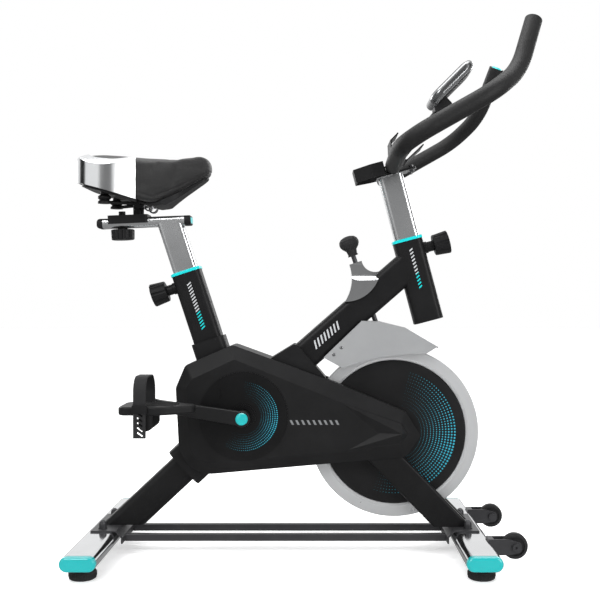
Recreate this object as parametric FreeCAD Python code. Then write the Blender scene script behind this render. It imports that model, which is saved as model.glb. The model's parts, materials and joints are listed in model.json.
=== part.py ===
"""Indoor exercise bike: welded tube frame, belt-driven flywheel, adjustable saddle and handlebar.

Millimetres. X points forward, Y to the rider's left, Z up. The origin is on the floor, midway
along and across the bike. Each function makes one piece, or one set of like pieces, and the
list at the end writes each to its own STEP file.
"""
import FreeCAD
import Part
import math
import os

# Crank axle, flywheel axle and drive
CRANK_X = -115.0
CRANK_Z = 277.0
CRANK_LENGTH = 170.0
CRANK_RISE = 9.1            # degrees the rear crank stands above level
FLYWHEEL_X = 187.5
FLYWHEEL_Z = 239.5
FLYWHEEL_RADIUS = 172.0
FLYWHEEL_WIDTH = 26.0
COVER_RADIUS = 145.7        # black disc inside the flywheel's rim
BIG_PULLEY_RADIUS = 80.0
SMALL_PULLEY_RADIUS = 20.0
BELT_WIDTH = 10.0
BELT_THICK = 3.0
BELT_Y = -48.5              # middle plane of the belt
CRANK_AXLE_RADIUS = 10.0
CRANK_BEARING_RADIUS = 21.0
CRANK_BEARING_WIDTH = 12.0
FLY_AXLE_RADIUS = 8.5
FLY_BEARING_RADIUS = 17.5
FLY_BEARING_WIDTH = 10.0
SHELL_RADIUS = 25.0         # bottom bracket shell
SHELL_HALF = 34.0

# Frame tubes: outer sleeves and the posts that slide in them
SLEEVE_DEPTH = 60.0
SLEEVE_WIDTH = 50.0
SLEEVE_CORNER = 13.0
SLEEVE_WALL = 2.5
POST_DEPTH = 50.0
POST_WIDTH = 40.0
POST_CORNER = 9.0
POST_WALL = 2.0
COLLAR_HEIGHT = 6.0
COLLAR_PROUD = 1.2
LINER_LENGTH = 54.0

SEAT_X = -237.5             # top of the seat sleeve's collar
SEAT_Z = 568.5
SEAT_LEAN = -18.2
SEAT_POST_INSERT = 140.0
HEAD_X = 214.4              # top of the head sleeve's collar
HEAD_Z = 634.2
HEAD_LEAN = -14.8
HEAD_LENGTH = 174.5
BAR_POST_INSERT = 130.0
BAR_POST_TOP = 131.8
BEAM_X = 180.0              # a point on the main beam's axis
BEAM_Z = 546.0
BEAM_RISE = 41.06           # degrees above level
LEG_X = -365.6              # a point on the rear leg's axis
LEG_Z = 50.0
LEG_RISE = 43.0
FORK_X = 168.5              # a point on the fork legs' axis
FORK_Z = 190.5
FORK_RISE = 45.8
FORK_DEPTH = 55.0
FORK_INNER = 22.0           # fork legs lie between these distances from the middle plane
FORK_OUTER = 42.0

# Pop pins that hold the posts
PIN_DROP = 28.0             # below the collar's top
PIN_PITCH = 20.0
PIN_HOLES_UP = 2
PIN_HOLES_DOWN = 4
PIN_RADIUS = 4.0
PIN_REACH = 6.0             # past the post's outer face
BARREL_RADIUS = 12.0
BARREL_LENGTH = 19.0
SPIGOT_RADIUS = 8.0
KNOB_RADIUS = 24.0
KNOB_LENGTH = 32.0

# Base
REAR_X = -396.0
FRONT_X = 332.0
STABILISER_DEPTH = 66.0
STABILISER_HEIGHT = 28.0
STABILISER_Z = 36.0
STABILISER_HALF = 240.0
STABILISER_WALL = 2.0
CAP_LENGTH = 12.5
PLATE_THICK = 3.0
PLATE_HALF = 74.0
PLATE_OUT = 19.5            # plate edge beyond the stabiliser's middle
FLANGE_IN = 43.5            # flange face inward of the stabiliser's middle
FLANGE_LOW = 27.0
BOLT_Y = 52.0
BOLT_RADIUS = 4.0
BAR_SIZE = 14.0
BAR_Y = 41.0
BAR_Z = 33.0
FOOT_Y = 208.0
FOOT_RADIUS = 25.7
FOOT_HEIGHT = 17.0
FOOT_STEM = 5.0
FOOT_STEM_TOP = 44.0
WHEEL_RADIUS = 24.5
WHEEL_WIDTH = 20.0
WHEEL_X = 409.4
WHEEL_Z = 38.0
WHEEL_Y = 126.0
WHEEL_AXLE = 4.0

# Shroud
SHROUD_WALL = 2.5
SHROUD_FLAT = 62.0          # outer flat face's distance from the middle plane
SHROUD_EDGE = 44.0          # where the bevel starts
SHROUD_INNER = 18.0         # inner edge beside the flywheel
HUB_PROUD = 13.0
DISC_RADIUS = 88.0
DISC_THICK = 1.5

# Cranks and pedals
ARM_INNER = 91.0
ARM_THICK = 14.0
ARM_HUB = 16.0
ARM_END = 12.0
ARM_CAP = 12.0
SPINDLE_RADIUS = 6.0
SPINDLE_BOSS = 9.0
PEDAL_INNER = 111.0
PEDAL_OUTER = 205.0
PEDAL_THICK = 16.0
STRAP_WIDTH = 23.0
STRAP_THICK = 3.0
STRAP_RISE = 63.0
STRAP_TAIL = 49.0
STRAP_BACK = 10.0           # strap's middle, behind the spindle
STRAP_SLOTS = 5
STRAP_SLOT_PITCH = 9.0
STRAP_SLOT_DEPTH = 3.2
STRAP_SLOT_LEAN = 35.0

# Saddle, its rail and its slider
RAIL_REAR = (-418.0, 663.0)
RAIL_FRONT = (-226.0, 671.0)
RAIL_HEIGHT = 20.0
RAIL_WIDTH = 40.0
RAIL_CORNER = 8.0
RAIL_CAP = 13.0
SLIDER_HALF = 41.0
SLIDER_X = 65.0             # slider's middle, along the rail from its rear end
SLIDER_BOLT = 4.0
SLIDER_BOLT_X = 50.0        # clamp bolt, along the rail from its rear end
SLIDER_FORWARD = 45.0
SLIDER_BACK = 10.0
STEM_X = 83.0               # saddle stem, along the rail from its rear end
STEM_RADIUS = 11.0
TILT_X = -331.0
TILT_Z = 704.0
TILT_BOLT = 4.0
SADDLE_REAR = -448.0
SADDLE_NOSE = -182.0
SADDLE_HALF = 104.0
SADDLE_NOSE_HALF = 27.0
CROWN_TOP = 812.0           # height of the arch that rounds the saddle's sides
CROWN_FOOT = 768.0          # height at which that arch starts
COVER_EDGE = -326.0         # front edge of the saddle's rear cover
COVER_WALL = 4.0
COVER_LIP = 16.0            # how far the rear cover folds over the padding
CLAMP_ROOM = 20.0           # radius of the pocket round the saddle clamp
TRAY_HALF = 46.0            # half width of the saddle's tray ahead of the rear cover

# Handlebar, bottle ring, cradle and console
BAR_X = 184.0
BAR_Z_MID = 775.0
BAR_RADIUS = 12.5
FOAM_RADIUS = 16.5
FOAM_START = 54.0
RING_HALF = 46.0
RING_HEIGHT = 27.0
RING_DEPTH = 64.0
RING_WALL = 3.0
CONSOLE_X = 303.0
CONSOLE_Z = 947.0
CONSOLE_TILT = 45.0
CONSOLE_LENGTH = 116.0
CONSOLE_THICK = 20.0
CONSOLE_HALF = 55.0
CONSOLE_CORNER = 26.0        # radius of the display's corners, seen from the front
CONSOLE_ROUND = 9.0         # radius of the display's edges
BUTTON_RADIUS = 9.0

# Brake
ROD_X = 169.0               # where the brake rod's axis meets the flywheel's rim
ROD_Z = 411.0
ROD_LEAN = -18.8
ROD_RADIUS = 5.0
ROD_TRAVEL = 8.0
BRAKE_KNOB_LOW = 198.0
BRAKE_KNOB_RADIUS = 20.5
GUARD_HALF = 35.0
GUARD_WALL = 2.5

# Fits
RUNNING = 0.05              # radial clearance of a shaft that turns
SLIDING = 0.3               # clearance of a post in its liner
GAP = 0.3


def vec(x, y, z):
    return FreeCAD.Vector(x, y, z)


def loop(points, radii, lift):
    """Closed outline through points, each corner rounded by its own radius."""
    corners = [lift(a, b) for a, b in points]
    edges = []
    ends = []
    for i, corner in enumerate(corners):
        back = (corners[i - 1] - corner).normalize()
        ahead = (corners[(i + 1) % len(corners)] - corner).normalize()
        half = back.getAngle(ahead) / 2
        reach = radii[i] / math.tan(half)
        toward = (back + ahead).normalize()
        centre = corner + toward * (radii[i] / math.sin(half))
        ends.append((corner + back * reach, centre - toward * radii[i], corner + ahead * reach))
    for i, (start, middle, end) in enumerate(ends):
        edges.append(Part.Arc(start, middle, end).toShape())
        edges.append(Part.LineSegment(end, ends[(i + 1) % len(ends)][0]).toShape())
    return Part.Wire(edges)


def side(points, y0, y1, radius=0.5):
    """Outline of (x, z) points, drawn in side view and made thick from y0 to y1."""
    radii = radius if isinstance(radius, list) else [radius] * len(points)
    wire = loop(points, radii, lambda x, z: vec(x, y0, z))
    return Part.Face(wire).extrude(vec(0, y1 - y0, 0))


def plan(points, z0, z1, radius=0.5):
    """Outline of (x, y) points, drawn from above and made thick from z0 to z1."""
    radii = radius if isinstance(radius, list) else [radius] * len(points)
    wire = loop(points, radii, lambda x, y: vec(x, y, z0))
    return Part.Face(wire).extrude(vec(0, 0, z1 - z0))


def bar(depth, width, corner, low, high):
    """Rounded rectangular bar along Z, depth along X and width along Y."""
    a = depth / 2
    b = width / 2
    return plan([(-a, -b), (a, -b), (a, b), (-a, b)], low, high, corner)


def tube(depth, width, corner, wall, low, high):
    """Rounded rectangular tube along Z."""
    hole = bar(depth - 2 * wall, width - 2 * wall, corner - wall, low - 1, high + 1)
    return bar(depth, width, corner, low, high).cut(hole)


def rod_y(x, z, radius, y0, y1):
    return Part.makeCylinder(radius, y1 - y0, vec(x, y0, z), vec(0, 1, 0))


def rod_z(x, y, radius, z0, z1):
    return Part.makeCylinder(radius, z1 - z0, vec(x, y, z0), vec(0, 0, 1))


def rod_x(y, z, radius, x0, x1):
    return Part.makeCylinder(radius, x1 - x0, vec(x0, y, z), vec(1, 0, 0))


def ring_y(x, z, outer, inner, y0, y1):
    return rod_y(x, z, outer, y0, y1).cut(rod_y(x, z, inner, y0 - 1, y1 + 1))


def lathe(profile, axis):
    """Solid turned from (radius, along) points about an axis through the origin."""
    if axis == "y":
        points = [vec(r, a, 0) for r, a in profile]
        direction = vec(0, 1, 0)
    else:
        points = [vec(r, 0, a) for r, a in profile]
        direction = vec(0, 0, 1)
    wire = Part.makePolygon(points + [points[0]])
    return Part.Face(wire).revolve(vec(0, 0, 0), direction, 360)


def at(shape, x, z, lean=0.0, y=0.0):
    """Shape leaned about Y, positive forward, with its origin moved to (x, y, z)."""
    placement = FreeCAD.Placement(vec(x, y, z), FreeCAD.Rotation(vec(0, 1, 0), lean))
    moved = shape.copy()
    moved.Placement = placement.multiply(moved.Placement)
    return moved


def mirrored(shape):
    return shape.mirror(vec(0, 0, 0), vec(0, 1, 0))


def both(shape):
    """The right-hand piece and its left-hand mirror image, as two solids."""
    return Part.makeCompound([shape, mirrored(shape)])


def fuse(shapes):
    whole = shapes[0].multiFuse(shapes[1:])
    return whole.removeSplitter()


def seat(shape):
    return at(shape, SEAT_X, SEAT_Z, SEAT_LEAN)


def head(shape):
    return at(shape, HEAD_X, HEAD_Z, HEAD_LEAN)


def brake(shape):
    return at(shape, ROD_X, ROD_Z, ROD_LEAN)


def sloping(shape, x, z, rise):
    """A shape drawn along Z, laid along a line that rises forward by rise degrees."""
    return at(shape, x, z, 90 - rise)


def grown_sleeve(extra, low, high):
    return bar(SLEEVE_DEPTH + 2 * extra, SLEEVE_WIDTH + 2 * extra, SLEEVE_CORNER + extra, low, high)


BEAM_LOW = -390.0           # along the beam from its reference point, to the crank axle
BEAM_HIGH = 70.0
LEG_HIGH = 342.0
FORK_HIGH = 250.0
FORK_LOW = -240.0


def beam_body(extra=0.0):
    return sloping(grown_sleeve(extra, BEAM_LOW, BEAM_HIGH), BEAM_X, BEAM_Z, BEAM_RISE)


def leg_body(extra=0.0):
    return sloping(grown_sleeve(extra, -80.0, LEG_HIGH), LEG_X, LEG_Z, LEG_RISE)


def seat_body(extra=0.0):
    return seat(grown_sleeve(extra, -310.0, -COLLAR_HEIGHT))


def head_body(extra=0.0):
    return head(grown_sleeve(extra, -HEAD_LENGTH, -COLLAR_HEIGHT))


def fork_body(extra=0.0):
    width = FORK_OUTER - FORK_INNER
    shape = bar(FORK_DEPTH + 2 * extra, width + 2 * extra, 5.0 + extra, -FORK_HIGH, -FORK_LOW)
    return at(shape, FORK_X, FORK_Z, 90 + FORK_RISE, -(FORK_INNER + FORK_OUTER) / 2)


def crank_shell():
    return rod_y(CRANK_X, CRANK_Z, SHELL_RADIUS, -SHELL_HALF, SHELL_HALF)


def above(z):
    return Part.makeBox(2000, 2000, 2000, vec(-1000, -1000, z))


def main_beam():
    """The beam from the crank axle up to the head sleeve, with the bottom bracket shell welded on."""
    walls = tube(SLEEVE_DEPTH, SLEEVE_WIDTH, SLEEVE_CORNER, SLEEVE_WALL, BEAM_LOW, BEAM_HIGH)
    beam = sloping(walls, BEAM_X, BEAM_Z, BEAM_RISE).cut(head_body())
    shell = crank_shell()
    beam = beam.cut(shell).fuse(shell)
    bore = rod_y(CRANK_X, CRANK_Z, CRANK_BEARING_RADIUS, -SHELL_HALF - 1, SHELL_HALF + 1)
    rod_hole = brake(rod_z(0, 0, ROD_RADIUS + 2, 50, 150))
    beam = beam.cut(bore).cut(rod_hole)
    return max(beam.Solids, key=lambda solid: solid.Volume)


def rear_leg_tube():
    walls = tube(SLEEVE_DEPTH, SLEEVE_WIDTH, SLEEVE_CORNER, SLEEVE_WALL, -80.0, LEG_HIGH)
    leg = sloping(walls, LEG_X, LEG_Z, LEG_RISE).cut(beam_body()).cut(crank_shell())
    leg = leg.common(above(STABILISER_Z + STABILISER_HEIGHT / 2 + PLATE_THICK))
    return max(leg.Solids, key=lambda solid: solid.Volume)


def seat_tube():
    walls = tube(SLEEVE_DEPTH, SLEEVE_WIDTH, SLEEVE_CORNER, SLEEVE_WALL, -310.0, -COLLAR_HEIGHT)
    hole = rod_x(0, -PIN_DROP, SPIGOT_RADIUS + GAP, -SLEEVE_DEPTH, 0)
    sleeve = seat(walls.cut(hole)).cut(beam_body()).cut(leg_body()).cut(crank_shell())
    return max(sleeve.Solids, key=lambda solid: solid.Volume)


def head_tube():
    walls = tube(SLEEVE_DEPTH, SLEEVE_WIDTH, SLEEVE_CORNER, SLEEVE_WALL, -HEAD_LENGTH, -COLLAR_HEIGHT)
    return head(walls.cut(rod_x(0, -PIN_DROP, SPIGOT_RADIUS + GAP, 0, SLEEVE_DEPTH)))


def liner(toward):
    """Moulded bushing: a coloured collar on top of the sleeve and a thin liner inside it."""
    proud = 2 * COLLAR_PROUD
    flange = bar(SLEEVE_DEPTH + proud, SLEEVE_WIDTH + proud, SLEEVE_CORNER, -COLLAR_HEIGHT, 0)
    rim = [edge for edge in flange.Edges if edge.BoundBox.ZMin > -0.01]
    flange = flange.makeFillet(1.5, rim)
    skirt = bar(SLEEVE_DEPTH - 2 * SLEEVE_WALL, SLEEVE_WIDTH - 2 * SLEEVE_WALL,
                SLEEVE_CORNER - SLEEVE_WALL, -COLLAR_HEIGHT - LINER_LENGTH, -COLLAR_HEIGHT)
    hole = bar(POST_DEPTH + 2 * SLIDING, POST_WIDTH + 2 * SLIDING, POST_CORNER + SLIDING,
               -COLLAR_HEIGHT - LINER_LENGTH - 1, 1)
    start = min(0, toward * SLEEVE_DEPTH)
    pin_hole = rod_x(0, -PIN_DROP, SPIGOT_RADIUS + GAP, start, start + SLEEVE_DEPTH)
    return flange.fuse(skirt).cut(hole).cut(pin_hole)


def tube_bushings():
    return Part.makeCompound([seat(liner(-1)), head(liner(1))])


def fork_legs():
    """Two flat legs from the beam to the front plate, each with a bearing boss beside it."""
    width = FORK_OUTER - FORK_INNER
    middle = -(FORK_INNER + FORK_OUTER) / 2
    walls = tube(FORK_DEPTH, width, 5.0, 2.5, -FORK_HIGH, -FORK_LOW)
    leg = at(walls, FORK_X, FORK_Z, 90 + FORK_RISE, middle)
    boss = rod_y(FLYWHEEL_X, FLYWHEEL_Z, FLY_BEARING_RADIUS + 6, middle - 9, middle + 9)
    web = side([(148, 236), (182, 262), (212, 236), (206, 196), (160, 210)], middle - 4, middle + 4, 4.0)
    solid_leg = fork_body(-1.0)
    mount = boss.fuse(web).cut(solid_leg)
    leg = leg.fuse(mount)
    bore = rod_y(FLYWHEEL_X, FLYWHEEL_Z, FLY_BEARING_RADIUS, -FORK_OUTER - 5, -FORK_INNER + 5)
    roof = side([(-138, 412), (73, 335), (250, 256), (250, 700), (-138, 700)], -80, 80)
    leg = leg.cut(bore).cut(beam_body()).cut(roof)
    leg = leg.common(above(STABILISER_Z + STABILISER_HEIGHT / 2 + PLATE_THICK))
    leg = max(leg.Solids, key=lambda solid: solid.Volume)
    return both(leg)


def base_plate(middle, inward):
    """Bent plate that sits on a stabiliser, with a flange down its inner side."""
    top = STABILISER_Z + STABILISER_HEIGHT / 2
    outline = [(-PLATE_OUT, top), (-PLATE_OUT, top + PLATE_THICK), (32, top + PLATE_THICK),
               (FLANGE_IN, 40), (FLANGE_IN, FLANGE_LOW), (FLANGE_IN - PLATE_THICK, FLANGE_LOW),
               (FLANGE_IN - PLATE_THICK, 39), (30.5, top)]
    points = [(middle + inward * x, z) for x, z in outline]
    plate = side(points, -PLATE_HALF, PLATE_HALF, [0.5, 0.5, 4.0, 4.0, 0.5, 0.5, 3.0, 3.0])
    for y in (-BOLT_Y, BOLT_Y):
        plate = plate.cut(rod_z(middle, y, BOLT_RADIUS + GAP, 20, 60))
    return plate


def base_frame():
    """Both bent plates and the two long bars welded between their flanges."""
    plates = [base_plate(REAR_X, 1), base_plate(FRONT_X, -1)]
    rear = REAR_X + FLANGE_IN
    front = FRONT_X - FLANGE_IN
    bars = []
    for y in (-BAR_Y, BAR_Y):
        shape = bar(BAR_SIZE, BAR_SIZE, 1.5, rear, front)
        bars.append(at(shape, 0, BAR_Z, 90, y))
    return Part.makeCompound(plates + bars)


def oval(middle, inset, y0, y1):
    """Flat oval bar across the bike."""
    a = STABILISER_DEPTH / 2 - inset
    b = STABILISER_HEIGHT / 2 - inset
    points = [(-a, -b), (a, -b), (a, b), (-a, b)]
    points = [(middle + x, STABILISER_Z + z) for x, z in points]
    return side(points, y0, y1, b - 0.05)


def stabilisers():
    pieces = []
    for middle in (REAR_X, FRONT_X):
        foot = oval(middle, 0, -STABILISER_HALF, STABILISER_HALF)
        foot = foot.cut(oval(middle, STABILISER_WALL, -STABILISER_HALF - 1, STABILISER_HALF + 1))
        for y in (-BOLT_Y, BOLT_Y):
            foot = foot.cut(rod_z(middle, y, BOLT_RADIUS + GAP, 15, 60))
        for y in (-FOOT_Y, FOOT_Y):
            foot = foot.cut(rod_z(middle, y, FOOT_STEM + 2 * RUNNING, 15, STABILISER_Z))
        pieces.append(foot)
    return Part.makeCompound(pieces)


def stabiliser_end_caps():
    caps = []
    for middle in (REAR_X, FRONT_X):
        cap = oval(middle, 0, -STABILISER_HALF - CAP_LENGTH, -STABILISER_HALF)
        rim = [edge for edge in cap.Edges if edge.BoundBox.YMax < -STABILISER_HALF - CAP_LENGTH + 0.01]
        cap = cap.makeFillet(6.0, rim)
        plug = oval(middle, STABILISER_WALL + 0.1, -STABILISER_HALF - 1, -STABILISER_HALF + 14)
        plug = plug.cut(oval(middle, STABILISER_WALL + 2.5, -STABILISER_HALF, -STABILISER_HALF + 15))
        cap = cap.fuse(plug)
        caps += [cap, mirrored(cap)]
    return Part.makeCompound(caps)


def stabiliser_bolts():
    """Bolts with washers and domed nuts that hold the plates to the stabilisers."""
    low = STABILISER_Z - STABILISER_HEIGHT / 2
    top = STABILISER_Z + STABILISER_HEIGHT / 2 + PLATE_THICK
    profile = [(0, low - 3), (5, low - 3), (8.5, low), (BOLT_RADIUS, low), (BOLT_RADIUS, top), (9, top),
               (9, top + 2), (7.5, top + 2), (7.5, top + 9), (6, top + 14), (3, top + 16.5), (0, top + 17)]
    return Part.makeCompound([at(lathe(profile, "z"), x, 0, 0, y)
                              for x in (REAR_X, FRONT_X) for y in (-BOLT_Y, BOLT_Y)])


def levelling_foot(x, y):
    foot = rod_z(x, y, FOOT_RADIUS, 0, FOOT_HEIGHT)
    edges = [edge for edge in foot.Edges if edge.Length > FOOT_RADIUS * 2 and edge.Closed]
    foot = foot.makeFillet(2.0, edges)
    return foot.fuse(rod_z(x, y, FOOT_STEM, FOOT_HEIGHT - 1, FOOT_STEM_TOP))


def transport_brackets():
    """Forked bracket with its axle bolt, welded to the front stabiliser on each side."""
    inner = WHEEL_WIDTH / 2 + 1.5
    outer = inner + 2.5
    start = FRONT_X + STABILISER_DEPTH / 2 - 8
    points = [(start, 23), (start, 53), (WHEEL_X - 12, 53), (WHEEL_X + 11, 46), (WHEEL_X + 11, 28),
              (WHEEL_X - 14, 23)]
    radii = [1.0, 1.0, 8.0, 7.0, 7.0, 8.0]
    fork = side(points, -WHEEL_Y - outer, -WHEEL_Y + outer, radii)
    slot = Part.makeBox(200, 2 * inner, 200, vec(start + 11, -WHEEL_Y - inner, -50))
    fork = fork.cut(slot).cut(oval(FRONT_X, 0, -STABILISER_HALF, STABILISER_HALF))
    hole = rod_y(WHEEL_X, WHEEL_Z, WHEEL_AXLE, -WHEEL_Y - outer - 1, -WHEEL_Y + outer + 1)
    bolt = rod_y(WHEEL_X, WHEEL_Z, WHEEL_AXLE, -WHEEL_Y - outer, -WHEEL_Y + outer)
    cheek = WHEEL_Y + outer
    bolt = bolt.fuse(rod_y(WHEEL_X, WHEEL_Z, 7.0, -cheek - 5, -cheek))
    bolt = bolt.fuse(rod_y(WHEEL_X, WHEEL_Z, 7.0, -WHEEL_Y + outer, -WHEEL_Y + outer + 5))
    bolt = bolt.cut(rod_y(WHEEL_X, WHEEL_Z, 2.5, -cheek - 6, -cheek - 2))
    fork = fork.cut(hole)
    return Part.makeCompound([fork, bolt, mirrored(fork), mirrored(bolt)])


def transport_wheel(y):
    half = WHEEL_WIDTH / 2
    bore = WHEEL_AXLE + RUNNING
    quarter = [(bore, half), (13, half), (13, half - 3), (18, half - 3), (18, half),
               (WHEEL_RADIUS - 3, half), (WHEEL_RADIUS, half - 4)]
    profile = quarter + [(r, -a) for r, a in reversed(quarter)]
    return at(lathe(profile, "y"), WHEEL_X, WHEEL_Z, 0, y)


# The shroud's edge outline, then the outline of its flat face: a corner and its radius each.
# Both have the same corners in the same order, from the top rear round by the floor side.
EDGE_CORNERS = [(-252, 332), (-243, 154), (131, 187), (209, 193), (239, 236), (209, 284), (73, 341),
                (-138, 418), (-233, 377)]
EDGE_RADII = [20, 66, 40, 20, 10, 18, 40, 14, 14]
FLAT_CORNERS = [(-228, 334), (-222, 181), (87, 208), (197, 221), (213, 243), (199, 264), (73, 307),
                (-133, 390), (-217, 351)]
FLAT_RADII = [14, 42, 8, 6, 4, 6, 8, 8, 8]


def shroud_solid(inset):
    """Right-hand half of the shroud as a full solid, set in by inset on every side."""
    edge_y = -SHROUD_EDGE
    flat_y = -SHROUD_FLAT + inset
    edge = loop(EDGE_CORNERS, EDGE_RADII, lambda x, z: vec(x, edge_y, z))
    flat = loop(FLAT_CORNERS, FLAT_RADII, lambda x, z: vec(x, flat_y, z))
    if inset:
        edge = edge.makeOffset2D(-inset)
        flat = flat.makeOffset2D(-inset)
    body = Part.Face(edge).extrude(vec(0, SHROUD_EDGE, 0))
    bevel = Part.makeLoft([edge, flat], True, True)
    return body.fuse(bevel)


def hub_bump():
    """Low faceted pyramid over the flywheel's axle, standing on the shroud's flat face."""
    flat = -SHROUD_FLAT + 0.5
    rim = [vec(75, flat, 306), vec(153, flat, 244), vec(90, flat, 209.5), vec(195.5, flat, 222.5),
           vec(210.5, flat, 243), vec(198, flat, 263)]
    peak = vec(199, -SHROUD_FLAT - HUB_PROUD, 244)
    faces = [Part.Face(Part.makePolygon(rim + [rim[0]]))]
    for i, point in enumerate(rim):
        after = rim[(i + 1) % len(rim)]
        faces.append(Part.Face(Part.makePolygon([point, after, peak, point])))
    return Part.Solid(Part.Shell(faces))


def shroud():
    shell = shroud_solid(0).cut(shroud_solid(SHROUD_WALL))
    shell = shell.cut(Part.makeBox(1200, 10, 1200, vec(-600, -0.2, -100)))
    wheel_room = rod_y(FLYWHEEL_X, FLYWHEEL_Z, FLYWHEEL_RADIUS + 6, -SHROUD_INNER, SHROUD_INNER)
    nose_room = Part.makeBox(400, 2 * SHROUD_INNER, 400, vec(60, -SHROUD_INNER, 100))
    shell = shell.cut(wheel_room).cut(nose_room)
    for body in (beam_body(0.5), leg_body(0.5), seat_body(0.5), fork_body(0.5)):
        shell = shell.cut(body)
    shell = shell.cut(rod_y(CRANK_X, CRANK_Z, 15.0, -80, -50))
    shell = max(shell.Solids, key=lambda solid: solid.Volume)
    bump = hub_bump()
    if bump.Volume < 0:
        bump.reverse()
    shell = shell.fuse(bump)
    return max(shell.Solids, key=lambda solid: solid.Volume)


def crank_discs():
    """Round trim plate on each side of the shroud, with raised rings round the axle."""
    inner = SHROUD_FLAT
    outer = SHROUD_FLAT + DISC_THICK
    disc = ring_y(CRANK_X, CRANK_Z, DISC_RADIUS, 15.0, -outer, -inner)
    disc = disc.fuse(ring_y(CRANK_X, CRANK_Z, 24.6, 20.5, -outer - 2.0, -inner))
    disc = disc.fuse(ring_y(CRANK_X, CRANK_Z, 20.0, 15.0, -outer - 1.0, -inner))
    return both(disc)


def shroud_block():
    half = shroud_solid(0)
    return half.fuse(mirrored(half))


def neck_covers():
    """Moulded sleeves round the seat tube, the rear leg and the beam where they leave the shroud."""
    block = shroud_block()
    seat_neck = seat(bar(SLEEVE_DEPTH + 10, SLEEVE_WIDTH + 12, 16, -200, -149))
    seat_neck = seat_neck.cut(seat_body(0.2)).cut(block)
    leg_neck = sloping(bar(88, 68, 16, 173, 260), LEG_X, LEG_Z, LEG_RISE).cut(leg_body(0.2)).cut(block)
    outline = [(-85, 378), (-62, 391), (-16, 419), (-7, 416), (58, 340), (20, 330), (-80, 350)]
    beam_neck = side(outline, -34, 34, [2, 6, 3, 2, 1, 1, 1]).cut(beam_body(0.2)).cut(block)
    wheel_room = rod_y(FLYWHEEL_X, FLYWHEEL_Z, FLYWHEEL_RADIUS + 6, -SHROUD_INNER, SHROUD_INNER)
    beam_neck = beam_neck.cut(wheel_room)
    pieces = [max(neck.Solids, key=lambda solid: solid.Volume) for neck in (seat_neck, leg_neck, beam_neck)]
    return Part.makeCompound(pieces)


def bearings():
    """Two bearings in the bottom bracket shell and one in each fork leg."""
    pieces = []
    middle = (FORK_INNER + FORK_OUTER) / 2
    inside = SHELL_HALF - CRANK_BEARING_WIDTH / 2 - 1
    kinds = [(CRANK_X, CRANK_Z, CRANK_BEARING_RADIUS, CRANK_AXLE_RADIUS, inside, CRANK_BEARING_WIDTH),
             (FLYWHEEL_X, FLYWHEEL_Z, FLY_BEARING_RADIUS, FLY_AXLE_RADIUS, middle, FLY_BEARING_WIDTH)]
    for x, z, outer, bore, place, width in kinds:
        for y in (-place, place):
            low = y - width / 2
            ring = ring_y(x, z, outer - 0.02, bore + RUNNING, low, low + width)
            for face in (low, low + width - 0.8):
                ring = ring.cut(ring_y(x, z, outer - 3, bore + 3, face, face + 0.8))
            pieces.append(ring)
    return Part.makeCompound(pieces)


def belt_outline(big, small, y):
    """Closed line round both pulleys at the given radii."""
    dx = FLYWHEEL_X - CRANK_X
    dz = FLYWHEEL_Z - CRANK_Z
    aim = math.atan2(dz, dx)
    wrap = math.acos((big - small) / math.hypot(dx, dz))

    def point(x, z, radius, angle):
        return vec(x + radius * math.cos(angle), y, z + radius * math.sin(angle))

    over = [point(CRANK_X, CRANK_Z, big, aim + wrap), point(FLYWHEEL_X, FLYWHEEL_Z, small, aim + wrap)]
    under = [point(CRANK_X, CRANK_Z, big, aim - wrap), point(FLYWHEEL_X, FLYWHEEL_Z, small, aim - wrap)]
    edges = [Part.LineSegment(over[0], over[1]).toShape(),
             Part.Arc(over[1], point(FLYWHEEL_X, FLYWHEEL_Z, small, aim), under[1]).toShape(),
             Part.LineSegment(under[1], under[0]).toShape(),
             Part.Arc(under[0], point(CRANK_X, CRANK_Z, big, aim + math.pi), over[0]).toShape()]
    return Part.Wire(edges)


def drive_belt():
    low = BELT_Y - BELT_WIDTH / 2
    outer = belt_outline(BIG_PULLEY_RADIUS + GAP + BELT_THICK, SMALL_PULLEY_RADIUS + GAP + BELT_THICK, low)
    inner = belt_outline(BIG_PULLEY_RADIUS + GAP, SMALL_PULLEY_RADIUS + GAP, low)
    along = vec(0, BELT_WIDTH, 0)
    return Part.Face(outer).extrude(along).cut(Part.Face(inner).extrude(along))


def drive_pulley():
    half = BELT_WIDTH / 2
    big = BIG_PULLEY_RADIUS
    quarter = [(CRANK_AXLE_RADIUS, half), (22, half), (22, 2), (big - 7, 2), (big - 7, half), (big, half)]
    profile = quarter + [(r, -y) for r, y in reversed(quarter)]
    pulley = at(lathe(profile, "y"), CRANK_X, CRANK_Z, 0, BELT_Y)
    for i in range(6):
        angle = math.radians(60 * i)
        x = CRANK_X + 47 * math.cos(angle)
        z = CRANK_Z + 47 * math.sin(angle)
        pulley = pulley.cut(rod_y(x, z, 15.0, BELT_Y - half, BELT_Y + half))
    return pulley


def small_pulley():
    half = BELT_WIDTH / 2
    return ring_y(FLYWHEEL_X, FLYWHEEL_Z, SMALL_PULLEY_RADIUS, FLY_AXLE_RADIUS, BELT_Y - half, BELT_Y + half)


def crank_axle():
    return rod_y(CRANK_X, CRANK_Z, CRANK_AXLE_RADIUS, -ARM_INNER - 9, ARM_INNER + 9)


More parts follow.
